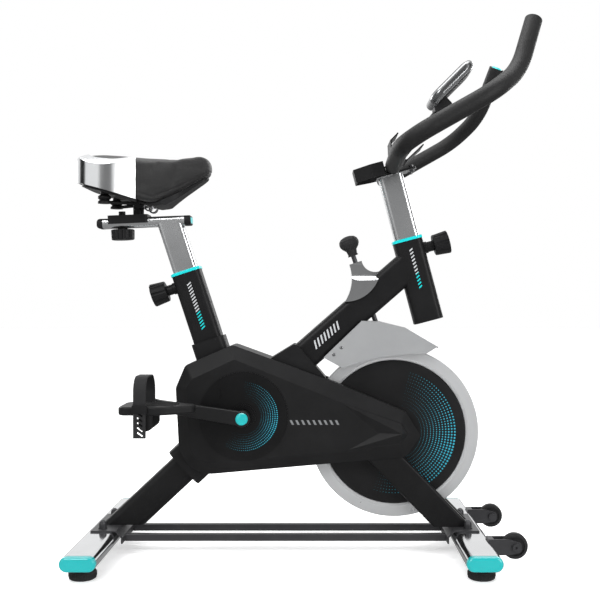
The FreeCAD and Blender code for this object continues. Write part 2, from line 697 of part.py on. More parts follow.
def crank_arm():
    """Right-hand crank, drawn pointing forward from the axle: it turns to its real place later."""
    outer = -(ARM_INNER + ARM_THICK)
    hub = rod_y(0, 0, ARM_HUB, outer, -ARM_INNER)
    end = rod_y(CRANK_LENGTH, 0, ARM_END, outer, -ARM_INNER)
    lower = [(0, -ARM_HUB + 2), (CRANK_LENGTH, -ARM_END + 1)]
    upper = [(x, -z) for x, z in reversed(lower)]
    web = side(lower + upper, outer, -ARM_INNER, 0.2)
    spacer = rod_y(0, 0, 14.0, -ARM_INNER - 1, -SHROUD_FLAT - DISC_THICK - 4.0)
    arm = fuse([hub, end, web])
    rims = [edge for edge in arm.Edges if edge.BoundBox.YMax - edge.BoundBox.YMin < 0.01]
    arm = arm.makeFillet(2.5, rims).fuse(spacer)
    bore = rod_y(0, 0, CRANK_AXLE_RADIUS, -ARM_INNER - 9, -40)
    thread = rod_y(CRANK_LENGTH, 0, SPINDLE_RADIUS, outer - 1, -ARM_INNER + 1)
    return arm.cut(bore).cut(thread)


def crank_arms():
    right = at(crank_arm(), CRANK_X, CRANK_Z, 180 + CRANK_RISE)
    left = at(mirrored(crank_arm()), CRANK_X, CRANK_Z, CRANK_RISE)
    return Part.makeCompound([right, left])


def pedal_axis(left):
    """(x, z) of a pedal's spindle: the right one stands to the rear, the left one to the front."""
    turn = math.radians(CRANK_RISE)
    sign = 1 if left else -1
    return (CRANK_X + sign * CRANK_LENGTH * math.cos(turn), CRANK_Z - sign * CRANK_LENGTH * math.sin(turn))


def crank_caps():
    outer = ARM_INNER + ARM_THICK
    profile = [(0, -outer - 3.6), (6, -outer - 3.2), (10.5, -outer - 1.8), (ARM_CAP, -outer), (0, -outer)]
    cap = at(lathe(profile, "y"), CRANK_X, CRANK_Z)
    return both(cap)


def pedal_spindles():
    outer = -(ARM_INNER + ARM_THICK)
    pieces = []
    for left in (False, True):
        x, z = pedal_axis(left)
        spindle = rod_y(x, z, SPINDLE_RADIUS, -PEDAL_OUTER + 12, -ARM_INNER)
        spindle = spindle.fuse(rod_y(x, z, SPINDLE_BOSS, outer - 4, outer))
        pieces.append(mirrored(spindle) if left else spindle)
    return Part.makeCompound(pieces)


def pedal(left):
    """Leaf-shaped tread with its spindle bore and the weight that keeps it upright."""
    half = PEDAL_THICK / 2
    wide = PEDAL_OUTER - PEDAL_INNER
    points = [(-52, -wide), (28, -wide), (86, -wide * 0.62), (86, -wide * 0.42), (34, 0), (-52, 0)]
    tread = plan([(x, y - PEDAL_INNER) for x, y in points], -half, half, [16, 50, 14, 14, 50, 16])
    rims = [edge for edge in tread.Edges if edge.BoundBox.ZMax - edge.BoundBox.ZMin < 0.01]
    tread = tread.makeFillet(4.0, rims)
    hanging = [(-13, -half - 29), (13, -half - 29), (13, 0), (-13, 0)]
    weight = side(hanging, -PEDAL_OUTER + 3, -PEDAL_INNER - 12, [12, 12, 0.5, 0.5])
    body = tread.fuse(weight).cut(rod_y(0, 0, SPINDLE_RADIUS + RUNNING, -PEDAL_OUTER + 8, -PEDAL_INNER + 5))
    x, z = pedal_axis(left)
    return at(mirrored(body) if left else body, x, z)


def pedal_strap(left):
    """Foot strap: up from the tread's inner edge, over the shoe, and down past its outer edge."""
    outer = -PEDAL_OUTER - GAP - STRAP_THICK
    inner = -PEDAL_INNER + GAP + STRAP_THICK
    low = -PEDAL_THICK / 2
    half = STRAP_WIDTH / 2

    def arch(inset):
        points = [(outer + inset, low - 50), (inner - inset, low - 50), (inner - inset, STRAP_RISE - inset),
                  (outer + inset, STRAP_RISE - inset)]
        wire = loop(points, [1, 1, 36 - inset, 30 - inset], lambda y, z: vec(-half, y, z))
        return Part.Face(wire).extrude(vec(STRAP_WIDTH, 0, 0))

    band = arch(0).cut(arch(STRAP_THICK))
    keep = Part.makeBox(100, 400, 200, vec(-50, outer - 50, low))
    tail = Part.makeBox(100, STRAP_THICK + 2, 200, vec(-50, outer - 1, low - STRAP_TAIL + 8))
    band = band.common(keep.fuse(tail)).cut(rod_y(STRAP_BACK, 0, SPINDLE_BOSS + 0.5, inner - 20, inner + 1))
    for i in range(STRAP_SLOTS):
        slot = Part.makeBox(12, STRAP_THICK + 2, STRAP_SLOT_DEPTH, vec(-6, outer - 1, 0))
        slot.rotate(vec(0, 0, 0), vec(0, 1, 0), STRAP_SLOT_LEAN)
        slot.translate(vec(0, 0, low - STRAP_TAIL + 14 + i * STRAP_SLOT_PITCH))
        band = band.cut(slot)
    band = max(band.Solids, key=lambda solid: solid.Volume)
    x, z = pedal_axis(left)
    return at(mirrored(band) if left else band, x - STRAP_BACK, z)


def flywheel():
    """Cast flywheel: a thick rim, a thin web and a hub."""
    half = FLYWHEEL_WIDTH / 2
    rim = FLYWHEEL_RADIUS
    bore = FLY_AXLE_RADIUS
    quarter = [(bore, half), (26, half), (26, 4), (COVER_RADIUS + 1, 4), (COVER_RADIUS + 1, half - 4.5),
               (COVER_RADIUS + 5.5, half), (rim - 2, half), (rim, half - 2)]
    profile = quarter + [(r, -y) for r, y in reversed(quarter)]
    return at(lathe(profile, "y"), FLYWHEEL_X, FLYWHEEL_Z)


def flywheel_covers():
    """Shallow dished disc on each side, inside the rim."""
    profile = [(27, 7.5), (60, 6.5), (COVER_RADIUS - 8, 5.5), (COVER_RADIUS, 5.5), (COVER_RADIUS, 9.5),
               (COVER_RADIUS - 2, 11.5), (60, 13.0), (27, 13.5)]
    cover = at(lathe([(r, -y) for r, y in profile], "y"), FLYWHEEL_X, FLYWHEEL_Z)
    return both(cover)


def flywheel_axle():
    return rod_y(FLYWHEEL_X, FLYWHEEL_Z, FLY_AXLE_RADIUS, BELT_Y - BELT_WIDTH / 2 - 1.5, FORK_OUTER + 6)


def fluted_knob(near, far, length, flutes):
    """Slightly tapered hand knob along Z with grooves round it."""
    knob = Part.makeCone(near, far, length)
    edges = [edge for edge in knob.Edges if edge.Closed]
    knob = knob.makeFillet(2.5, edges)
    for i in range(flutes):
        angle = 2 * math.pi * i / flutes
        radius = (near + far) / 2 + 2.2
        groove = rod_z(radius * math.cos(angle), radius * math.sin(angle), 4.6, -1, length + 1)
        knob = knob.cut(groove)
    return knob


def pin_barrel(toward):
    """Threaded barrel that screws into the sleeve: drawn along Z, then laid along X."""
    face = SLEEVE_DEPTH / 2
    spigot_end = POST_DEPTH / 2 + SLIDING + 0.3
    profile = [(PIN_RADIUS + RUNNING, spigot_end), (SPIGOT_RADIUS, spigot_end), (SPIGOT_RADIUS, face + 0.1),
               (BARREL_RADIUS, face + 0.1), (BARREL_RADIUS, face + 6), (BARREL_RADIUS - 1.5, face + 7),
               (BARREL_RADIUS - 1.5, face + BARREL_LENGTH), (PIN_RADIUS + RUNNING, face + BARREL_LENGTH)]
    barrel = lathe(profile, "z")
    return at(barrel, 0, -PIN_DROP, 90 * toward)


def pin_knob(toward):
    """Pull knob with its locking pin."""
    start = SLEEVE_DEPTH / 2 + BARREL_LENGTH + 0.5
    knob = fluted_knob(KNOB_RADIUS - 3, KNOB_RADIUS, KNOB_LENGTH, 8)
    knob.translate(vec(0, 0, start))
    pin = rod_z(0, 0, PIN_RADIUS, POST_DEPTH / 2 - PIN_REACH, start + 5)
    tip = [edge for edge in pin.Edges if edge.Closed and edge.BoundBox.ZMax < start]
    pin = pin.makeChamfer(1.0, tip)
    return at(knob.fuse(pin), 0, -PIN_DROP, 90 * toward)


def post(low, high, toward):
    """Sliding post with a row of pin holes in one face."""
    walls = tube(POST_DEPTH, POST_WIDTH, POST_CORNER, POST_WALL, low, high)
    for i in range(-PIN_HOLES_UP, PIN_HOLES_DOWN + 1):
        start = min(0, toward * POST_DEPTH)
        walls = walls.cut(rod_x(0, -PIN_DROP - i * PIN_PITCH, PIN_RADIUS + 0.5, start, start + POST_DEPTH))
    return walls


RAIL_TILT = math.degrees(math.atan2(RAIL_FRONT[1] - RAIL_REAR[1], RAIL_FRONT[0] - RAIL_REAR[0]))
RAIL_LENGTH = math.hypot(RAIL_FRONT[0] - RAIL_REAR[0], RAIL_FRONT[1] - RAIL_REAR[1])


def rail(shape):
    """A shape drawn along X from the rail's rear end, tilted to the rail."""
    return at(shape, RAIL_REAR[0], RAIL_REAR[1], -RAIL_TILT)


def rail_bar(extra, start, end):
    shape = bar(RAIL_HEIGHT + 2 * extra, RAIL_WIDTH + 2 * extra, RAIL_CORNER + extra, start, end)
    return at(shape, 0, 0, 90)


def seat_post():
    """Post with the saddle rail welded across its top, and the slot for the slider's bolt."""
    upright = seat(post(-SEAT_POST_INSERT, 130, -1))
    outside = rail(rail_bar(0, 0, RAIL_LENGTH).fuse(Part.makeBox(600, 200, 200, vec(-300, -100, 0))))
    upright = max(upright.cut(outside).Solids, key=lambda solid: solid.Volume)
    along = rail_bar(0, RAIL_CAP, RAIL_LENGTH - RAIL_CAP)
    along = along.cut(rail_bar(-2.0, RAIL_CAP - 1, RAIL_LENGTH))
    back = SLIDER_BOLT_X - SLIDER_BACK
    ahead = SLIDER_BOLT_X + SLIDER_FORWARD
    room = SLIDER_BOLT + 1
    slot = plan([(back - room, -room), (ahead + room, -room), (ahead + room, room), (back - room, room)],
                -RAIL_HEIGHT, RAIL_HEIGHT, room - 0.1)
    return fuse([upright, rail(along.cut(slot))])


def rail_caps():
    """End plugs of the saddle rail."""
    rear = rail_bar(0, 0, RAIL_CAP)
    edges = [edge for edge in rear.Edges if edge.BoundBox.XMax < 0.01]
    rear = rear.makeFillet(7.0, edges)
    front = rail_bar(0, RAIL_LENGTH - RAIL_CAP, RAIL_LENGTH)
    edges = [edge for edge in front.Edges if edge.BoundBox.XMin > RAIL_LENGTH - 0.01]
    front = front.makeFillet(3.0, edges)
    return Part.makeCompound([rail(rear), rail(front)])


def saddle_carriage():
    """Slider over the rail with the saddle's stem and the boss of its clamp bolt."""
    half = RAIL_WIDTH / 2 + 4
    top = RAIL_HEIGHT / 2 + 5
    rear = SLIDER_X - SLIDER_HALF
    front = SLIDER_X + SLIDER_HALF
    points = [(rear, -half), (front, -half), (front, half), (rear, half)]
    shoe = plan(points, -2, top, 6.0).cut(rail_bar(GAP, -20, RAIL_LENGTH + 20))
    bolt_boss = rod_z(SLIDER_BOLT_X, 0, 7.0, top - 1, top + 9)
    shoe = shoe.fuse(bolt_boss).cut(rod_z(SLIDER_BOLT_X, 0, SLIDER_BOLT + RUNNING, -20, top + 5))
    shoe = rail(shoe)
    base_z = RAIL_REAR[1] + math.tan(math.radians(RAIL_TILT)) * STEM_X + top - 3
    stem = rod_z(RAIL_REAR[0] + STEM_X, 0, STEM_RADIUS, base_z, TILT_Z + 6)
    gap = 8.0
    for y in (-STEM_RADIUS - 8 + 3, STEM_RADIUS - 3):
        stem = stem.cut(Part.makeBox(60, gap, 60, vec(TILT_X - 30, y, TILT_Z - 11)))
    stem = stem.cut(rod_y(TILT_X, TILT_Z, TILT_BOLT + RUNNING, -40, 40))
    return shoe.fuse(stem)


def slider_knob():
    """Clamp knob under the rail, with its bolt up through the slot."""
    top = RAIL_HEIGHT / 2 + 5
    knob = fluted_knob(KNOB_RADIUS - 1, KNOB_RADIUS, 21, 10)
    knob.translate(vec(SLIDER_BOLT_X, 0, -RAIL_HEIGHT / 2 - 24))
    neck = rod_z(SLIDER_BOLT_X, 0, 10.0, -RAIL_HEIGHT / 2 - 4, -RAIL_HEIGHT / 2 - GAP)
    bolt = rod_z(SLIDER_BOLT_X, 0, SLIDER_BOLT, -RAIL_HEIGHT / 2 - 5, top + 4)
    return rail(fuse([knob, neck, bolt]))


def saddle_plan(inset):
    """Seen from above: round at the back, waisted, with a narrow nose."""
    wide = SADDLE_HALF - inset
    thin = SADDLE_NOSE_HALF - inset
    rear = SADDLE_REAR + inset
    nose = SADDLE_NOSE - inset
    points = [(rear, -wide * 0.86), (rear + 70, -wide), (rear + 128, -wide * 0.72), (rear + 190, -thin - 5),
              (nose, -thin)]
    points += [(x, -y) for x, y in reversed(points)]
    radii = [46, 50, 60, 70, thin * 0.85]
    return plan(points, 650, 850, radii + list(reversed(radii)))


def saddle_block():
    """The whole padded form: the view from above meets the views from the side and from the front."""
    nose = SADDLE_NOSE
    rear = SADDLE_REAR
    points = [(rear, 800), (rear + 149, 786), (nose, 806), (nose, 763), (rear + 151, 699), (rear, 741)]
    profile = side(points, -120, 120, [34, 400, 24, 10, 40, 6])
    wide = SADDLE_HALF + 2
    feet = ((-wide, CROWN_FOOT), (-wide, 650), (wide, 650), (wide, CROWN_FOOT))
    corners = [vec(rear - 5, y, z) for y, z in feet]
    crown = [Part.LineSegment(start, end).toShape() for start, end in zip(corners, corners[1:])]
    crown.append(Part.Arc(corners[-1], vec(rear - 5, 0, CROWN_TOP), corners[0]).toShape())
    arch = Part.Face(Part.Wire(crown)).extrude(vec(300, 0, 0))
    return saddle_plan(0).common(profile).common(arch)


def cover_band(gap):
    """The rear cover's room: a wall round the padding's rear and a lip folded over its top."""
    block = saddle_block()
    lower = saddle_block()
    lower.translate(vec(0, 0, -COVER_WALL - gap))
    lip = block.cut(lower).cut(saddle_plan(COVER_LIP + gap))
    wall = block.cut(saddle_plan(COVER_WALL + gap))
    rear = Part.makeBox(400, 400, 400, vec(COVER_EDGE + gap - 400, -200, 600))
    return wall.fuse(lip).common(rear)


def saddle_cushion():
    clamp_room = rod_z(TILT_X, 0, CLAMP_ROOM, 650, TILT_Z + 12)
    padding = saddle_block().cut(cover_band(GAP)).cut(clamp_room)
    return max(padding.Solids, key=lambda solid: solid.Volume)


def saddle_rear_cover():
    return max(cover_band(0).Solids, key=lambda solid: solid.Volume)


BUMPER_X = -392.0
BUMPER_Y = 55.0


def saddle_base():
    """Moulded tray, clamp cheeks, tilt bolt and the two sprung bumpers under the rear."""
    nose = SADDLE_NOSE
    rear = SADDLE_REAR
    points = [(rear + 8, 760), (rear + 151, 730), (nose - 3, 785), (nose - 6, 757), (rear + 176, 699),
              (rear + 154, 696.5), (rear + 122, 702), (rear + 8, 735)]
    tray = side(points, -110, 110, [1, 20, 1, 6, 12, 8, 20, 1]).common(saddle_plan(9))
    for low in (-TRAY_HALF - 100, TRAY_HALF):
        tray = tray.cut(Part.makeBox(200, 100, 200, vec(COVER_EDGE, low, 600)))
    stem_room = rod_z(RAIL_REAR[0] + STEM_X, 0, STEM_RADIUS + 2.5, 650, TILT_Z + 9)
    tray = tray.cut(stem_room)
    pieces = [tray]
    for sign in (-1, 1):
        inner = sign * (STEM_RADIUS - 2.5)
        outer = sign * (STEM_RADIUS + 5.5)
        low = min(inner, outer)
        high = max(inner, outer)
        pieces.append(rod_y(TILT_X, TILT_Z, 10.0, low, high))
        pieces.append(Part.makeBox(18, high - low, 16, vec(TILT_X - 9, low, TILT_Z)))
        foot = vec(BUMPER_X, sign * BUMPER_Y, 703)
        start = vec(TILT_X + 5, sign * (STEM_RADIUS + 1), TILT_Z)
        span = foot - start
        pieces.append(Part.makeCylinder(3.5, span.Length, start, span))
        bumper = [(0, 0), (13, 0), (13, 4), (9.5, 7), (13, 10), (13, 14), (8, 18), (8, 30), (0, 30)]
        pieces.append(at(lathe(bumper, "z"), BUMPER_X, 700, 0, sign * BUMPER_Y))
    pieces.append(rod_y(TILT_X, TILT_Z, TILT_BOLT, -STEM_RADIUS - 9, STEM_RADIUS + 9))
    return fuse(pieces).cut(saddle_block())


def bar_route(sign):
    """Corners of the handlebar's middle line on one side, and the radius of each bend."""
    points = [vec(BAR_X, 0, BAR_Z_MID), vec(BAR_X - 2, sign * 276, 784), vec(345, sign * 277, 876),
              vec(398, sign * 222, 925), vec(433.4, sign * 180, 1027.6)]
    return points, [0, 62, 100, 150, 0]


def bent_rod(points, radii, radius):
    """Round bar along straight runs joined by tangent bends."""
    edges = []
    last = points[0]
    for i in range(1, len(points) - 1):
        corner = points[i]
        back = (points[i - 1] - corner).normalize()
        ahead = (points[i + 1] - corner).normalize()
        half = back.getAngle(ahead) / 2
        reach = radii[i] / math.tan(half)
        toward = (back + ahead).normalize()
        middle = corner + toward * (radii[i] / math.sin(half) - radii[i])
        start = corner + back * reach
        end = corner + ahead * reach
        edges.append(Part.LineSegment(last, start).toShape())
        edges.append(Part.Arc(start, middle, end).toShape())
        last = end
    edges.append(Part.LineSegment(last, points[-1]).toShape())
    direction = points[1] - points[0]
    circle = Part.Wire(Part.Circle(points[0], direction, radius).toShape())
    return Part.Wire(edges).makePipeShell([circle], True, False)


def half_bar(sign, radius, start=0.0, trim=0.0):
    points, radii = bar_route(sign)
    points = list(points)
    points[0] = points[0] + (points[1] - points[0]).normalize() * start
    points[-1] = points[-1] + (points[-2] - points[-1]).normalize() * trim
    return bent_rod(points, radii, radius)


def handlebar():
    """Bent steel tube, one piece from tip to tip."""
    halves = [half_bar(sign, BAR_RADIUS, 0, 2.0) for sign in (-1, 1)]
    return fuse(halves)


def handlebar_grips():
    """Foam sleeves from beside the post out to the tips."""
    sleeves = []
    for sign in (-1, 1):
        outer = half_bar(sign, FOAM_RADIUS, FOAM_START)
        sleeves.append(outer.cut(half_bar(sign, BAR_RADIUS, 0, -5.0)))
    return Part.makeCompound(sleeves)


def bar_end_caps():
    caps = []
    for sign in (-1, 1):
        points, _ = bar_route(sign)
        tip = points[-1]
        along = (tip - points[-2]).normalize()
        plug = Part.makeCylinder(BAR_RADIUS - 0.2, 2.0, tip - along * 2.0, along)
        dome = Part.makeCone(BAR_RADIUS - 0.5, BAR_RADIUS - 3.5, 2.0, tip, along)
        caps.append(plug.fuse(dome))
    return Part.makeCompound(caps)


def handlebar_post():
    """Post with the flat plate that carries the handlebar and its fittings."""
    upright = post(-BAR_POST_INSERT, BAR_POST_TOP, 1)
    top = plan([(-29, -29), (53, -29), (53, 29), (-29, 29)], BAR_POST_TOP, BAR_POST_TOP + 4, 8.0)
    across = rod_y(BAR_X, BAR_Z_MID, BAR_RADIUS, -60, 60)
    mount = head(upright.fuse(top)).cut(across)
    return max(mount.Solids, key=lambda solid: solid.Volume)


def bottle_holder():
    """Six-sided ring behind the handlebar, open from top to bottom, with a base strap."""
    low = BAR_POST_TOP + 1.5
    rear = -8.0 - RING_DEPTH

    def hexagon(inset, z0, z1):
        half = RING_HALF - inset
        points = [(-11 - inset, -half), (-37.5, -half), (rear + inset, -26 + inset * 0.4),
                  (rear + inset, 26 - inset * 0.4), (-37.5, half), (-11 - inset, half)]
        return plan(points, z0, z1, 3.0)

    band = hexagon(0, low, low + RING_HEIGHT).cut(hexagon(RING_WALL, low - 1, low + RING_HEIGHT + 1))
    plate = plan([(-29, -29), (53, -29), (53, 29), (-29, 29)], BAR_POST_TOP - 1, BAR_POST_TOP + 4 + 0.1, 8.0)
    band = band.cut(plate)
    for y in (-17, -10, 10, 17):
        band = band.cut(Part.makeBox(20, 2.0, 8, vec(rear - 5, y - 1, low - 1)))
    across = rod_y(BAR_X, BAR_Z_MID, FOAM_RADIUS + GAP, -80, 80)
    band = head(band).cut(across)
    return max(band.Solids, key=lambda solid: solid.Volume)


def strip(points, thick, y0, y1):
    """Folded sheet that follows a line of (x, z) points."""
    pieces = []
    for (xa, za), (xb, zb) in zip(points, points[1:]):
        length = math.hypot(xb - xa, zb - za)
        lean = math.degrees(math.atan2(xb - xa, zb - za))
        block = Part.makeBox(thick, y1 - y0, length + thick, vec(-thick / 2, y0, -thick / 2))
        pieces.append(at(block, xa, za, lean))
    return fuse(pieces) if len(pieces) > 1 else pieces[0]


def console_stalk():
    start = vec(BAR_X + 8, 0, BAR_Z_MID + 12)
    end = vec(278, 0, 892)
    return Part.makeCylinder(8.0, (end - start).Length, start, end - start)


def device_cradle():
    """Folded sheet over the handlebar's middle, with a rear lip and a front lip."""
    floor = BAR_Z_MID + BAR_RADIUS + 2.0
    line = [(193, 843), (179.5, 829), (181, floor + 4), (187, floor), (212, floor), (244, 820)]
    sheet = strip(line, 2.4, -40, 40)
    return sheet.cut(console_stalk()).cut(handlebar())


def console_body():
    """Slim display with fully rounded edges on a short arm over the handlebar's middle."""
    thick = CONSOLE_THICK
    corner = vec(-thick / 2, -CONSOLE_HALF, -CONSOLE_LENGTH / 2)
    slab = Part.makeBox(thick, 2 * CONSOLE_HALF, CONSOLE_LENGTH, corner)
    corners = [edge for edge in slab.Edges if edge.BoundBox.XLength > thick / 2]
    slab = slab.makeFillet(CONSOLE_CORNER, corners)
    rims = [edge for edge in slab.Edges if edge.BoundBox.XLength < 0.01]
    slab = slab.makeFillet(CONSOLE_ROUND, rims)
    pocket = rod_x(0, -4.0, BUTTON_RADIUS + GAP, -thick / 2 - 1, -thick / 2 + 5)
    body = at(slab.cut(pocket), CONSOLE_X, CONSOLE_Z, 90 - CONSOLE_TILT)
    return fuse([body, console_mount()])


def console_mount():
    """Block on the back of the display and the stalk down to the handlebar."""
    block = side([(268, 905), (290, 924), (306, 907), (292, 890), (271, 890)], -20, 20, 3.0)
    half = CONSOLE_LENGTH / 2
    slab = Part.makeBox(CONSOLE_THICK, 200, 2 * half + 40, vec(-CONSOLE_THICK / 2, -100, -half - 20))
    slab = at(slab, CONSOLE_X, CONSOLE_Z, 90 - CONSOLE_TILT)
    mount = block.cut(slab)
    mount = max(mount.Solids, key=lambda solid: solid.Volume)
    stalk = console_stalk().cut(rod_y(BAR_X, BAR_Z_MID, BAR_RADIUS, -60, 60))
    return fuse([mount, stalk])


def console_button():
    thick = CONSOLE_THICK / 2
    cap = rod_x(0, -4.0, BUTTON_RADIUS, -thick - 3.6, -thick + 3.0)
    edges = [edge for edge in cap.Edges if edge.Closed and edge.BoundBox.XMax < -thick - 3]
    cap = cap.makeFillet(1.2, edges)
    return at(cap, CONSOLE_X, CONSOLE_Z, 90 - CONSOLE_TILT)


def brake_housing():
    """Flared saddle casting over the beam that guides the brake rod."""
    edges = [Part.LineSegment(vec(96.8, -29, 580), vec(121.8, -29, 588)).toShape(),
             Part.Arc(vec(121.8, -29, 588), vec(132, -29, 571), vec(159, -29, 567)).toShape(),
             Part.Arc(vec(159, -29, 567), vec(142.7, -29, 529.7), vec(87.4, -29, 504.5)).toShape(),
             Part.Arc(vec(87.4, -29, 504.5), vec(101.3, -29, 548), vec(96.8, -29, 580)).toShape()]
    outline = Part.Face(Part.Wire(edges)).extrude(vec(0, 58, 0))
    front = [Part.LineSegment(vec(0, -13, 600), vec(0, -13, 582)).toShape(),
             Part.Arc(vec(0, -13, 582), vec(0, -17, 562), vec(0, -29, 548)).toShape(),
             Part.LineSegment(vec(0, -29, 548), vec(0, -29, 490)).toShape(),
             Part.LineSegment(vec(0, -29, 490), vec(0, 29, 490)).toShape(),
             Part.LineSegment(vec(0, 29, 490), vec(0, 29, 548)).toShape(),
             Part.Arc(vec(0, 29, 548), vec(0, 17, 562), vec(0, 13, 582)).toShape(),
             Part.LineSegment(vec(0, 13, 582), vec(0, 13, 600)).toShape(),
             Part.LineSegment(vec(0, 13, 600), vec(0, -13, 600)).toShape()]
    width = Part.Face(Part.Wire(front)).extrude(vec(300, 0, 0))
    casting = outline.common(width).cut(beam_body())
    casting = casting.cut(brake(rod_z(0, 0, ROD_RADIUS + RUNNING, 60, 220)))
    return max(casting.Solids, key=lambda solid: solid.Volume)


def shoe_sector(inner, outer, spread):
    """Block curved to the rim: concentric with it once the rod is pushed right down."""
    lean = math.radians(-ROD_LEAN)
    x = FLYWHEEL_X - ROD_TRAVEL * math.sin(lean)
    z = FLYWHEEL_Z + ROD_TRAVEL * math.cos(lean)
    aim = math.atan2(ROD_Z - FLYWHEEL_Z, ROD_X - FLYWHEEL_X)

    def on(radius, offset):
        return vec(x + radius * math.cos(aim + offset), -11, z + radius * math.sin(aim + offset))

    edges = [Part.Arc(on(inner, -spread), on(inner, 0), on(inner, spread)).toShape(),
             Part.LineSegment(on(inner, spread), on(outer, spread)).toShape(),
             Part.Arc(on(outer, spread), on(outer, 0), on(outer, -spread)).toShape(),
             Part.LineSegment(on(outer, -spread), on(inner, -spread)).toShape()]
    return Part.Face(Part.Wire(edges)).extrude(vec(0, 22, 0))


def brake_pad():
    return shoe_sector(FLYWHEEL_RADIUS + GAP, FLYWHEEL_RADIUS + 9, math.radians(9))


def brake_rod():
    """Push rod with the steel shoe that holds the felt pad."""
    shoe = shoe_sector(FLYWHEEL_RADIUS + 9, FLYWHEEL_RADIUS + 14, math.radians(10))
    shank = brake(rod_z(0, 0, ROD_RADIUS, 18, BRAKE_KNOB_LOW + 26))
    return fuse([shoe, shank])


def resistance_knob():
    """Mushroom knob on top of the brake rod."""
    low = BRAKE_KNOB_LOW
    bore = ROD_RADIUS + RUNNING
    profile = [(bore, low), (11, low), (9.5, low + 4), (11, low + 12), (17, low + 18), (20.2, low + 24),
               (BRAKE_KNOB_RADIUS, low + 28), (19, low + 34), (14, low + 39), (6, low + 41.5), (0, low + 42),
               (0, low + 27), (bore, low + 27)]
    return brake(lathe(profile, "z"))


def flywheel_guard():
    """Channel over the top of the flywheel: two side walls and a roof."""
    outline = [(44, 392), (121, 466), (158, 464.5), (209, 452), (260, 422), (274, 414), (251, 400),
               (214, 399.5), (158, 392.5), (113, 381), (82, 371), (71, 377)]
    wall = side(outline, -GUARD_HALF, -GUARD_HALF + GUARD_WALL, 1.0)
    roof_line = [(x, z - GUARD_WALL / 2) for x, z in outline[1:6]]
    roof = strip(roof_line, GUARD_WALL, -GUARD_HALF + 1, GUARD_HALF - 1)
    guard = fuse([wall, mirrored(wall), roof])
    guard = guard.cut(beam_body(0.3)).cut(brake(rod_z(0, 0, ROD_RADIUS + 4, 30, 80)))
    for x, z in ((65, 398), (80, 412)):
        guard = guard.cut(rod_y(x, z, 3.0, -60, 60))
    bracket = side([(58, 402), (92, 431), (98, 424), (64, 392)], -GUARD_HALF + GUARD_WALL, -10, 2.0)
    bracket = bracket.cut(beam_body(0.1)).cut(rod_y(65, 398, 3.0, -60, 60)).cut(rod_y(80, 412, 3.0, -60, 60))
    guard = max(guard.Solids, key=lambda solid: solid.Volume)
    return Part.makeCompound([guard, bracket, mirrored(bracket)])


PARTS = {
    "main_beam": main_beam,
    "rear_leg_tube": rear_leg_tube,
    "seat_tube": seat_tube,
    "head_tube": head_tube,
    "fork_legs": fork_legs,
    "base_frame": base_frame,
    "stabilisers": stabilisers,
    "stabiliser_end_caps": stabiliser_end_caps,
    "stabiliser_bolts": stabiliser_bolts,
    "right_shroud": shroud,
    "left_shroud": lambda: mirrored(shroud()),
    "crank_discs": crank_discs,
    "neck_covers": neck_covers,
    "tube_bushings": tube_bushings,
    "flywheel_guard": flywheel_guard,
    "brake_housing": brake_housing,
    "bearings": bearings,
    "drive_belt": drive_belt,
    "transport_brackets": transport_brackets,
    "crank_axle": crank_axle,
    "crank_arms": crank_arms,
    "crank_caps": crank_caps,
    "drive_pulley": drive_pulley,
    "pedal_spindles": pedal_spindles,
    "flywheel": flywheel,
    "flywheel_covers": flywheel_covers,
    "flywheel_axle": flywheel_axle,
    "small_pulley": small_pulley,
    "right_pedal": lambda: pedal(False),
    "left_pedal": lambda: pedal(True),
    "right_pedal_strap": lambda: pedal_strap(False),
    "left_pedal_strap": lambda: pedal_strap(True),
    "seat_post": seat_post,
    "rail_caps": rail_caps,
    "saddle_carriage": saddle_carriage,
    "slider_knob": slider_knob,
    "saddle_base": saddle_base,
    "saddle_cushion": saddle_cushion,
    "saddle_rear_cover": saddle_rear_cover,
    "seat_pin_barrel": lambda: seat(pin_barrel(-1)),
    "seat_pin_knob": lambda: seat(pin_knob(-1)),
    "bar_pin_barrel": lambda: head(pin_barrel(1)),
    "bar_pin_knob": lambda: head(pin_knob(1)),
    "handlebar_post": handlebar_post,
    "handlebar": handlebar,
    "handlebar_grips": handlebar_grips,
    "bar_end_caps": bar_end_caps,
    "bottle_holder": bottle_holder,
    "device_cradle": device_cradle,
    "console_body": console_body,
    "console_button": console_button,
    "resistance_knob": resistance_knob,
    "brake_rod": brake_rod,
    "brake_pad": brake_pad,
    "right_transport_wheel": lambda: transport_wheel(-WHEEL_Y),
    "left_transport_wheel": lambda: transport_wheel(WHEEL_Y),
    "rear_right_foot": lambda: levelling_foot(REAR_X, -FOOT_Y),
    "rear_left_foot": lambda: levelling_foot(REAR_X, FOOT_Y),
    "front_right_foot": lambda: levelling_foot(FRONT_X, -FOOT_Y),
    "front_left_foot": lambda: levelling_foot(FRONT_X, FOOT_Y),
}


os.makedirs("parts", exist_ok=True)
for name, make in PARTS.items():
    shape = make()
    print(name, len(shape.Solids), round(shape.Volume / 1000, 1), shape.isValid())
    shape.exportStep("parts/" + name + ".step")
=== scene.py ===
"""Looks for an indoor exercise bike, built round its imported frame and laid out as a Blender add-on."""
import json
import math

import bmesh
import bpy
from bpy.props import FloatProperty, FloatVectorProperty, IntProperty, PointerProperty
from mathutils import Matrix, Vector


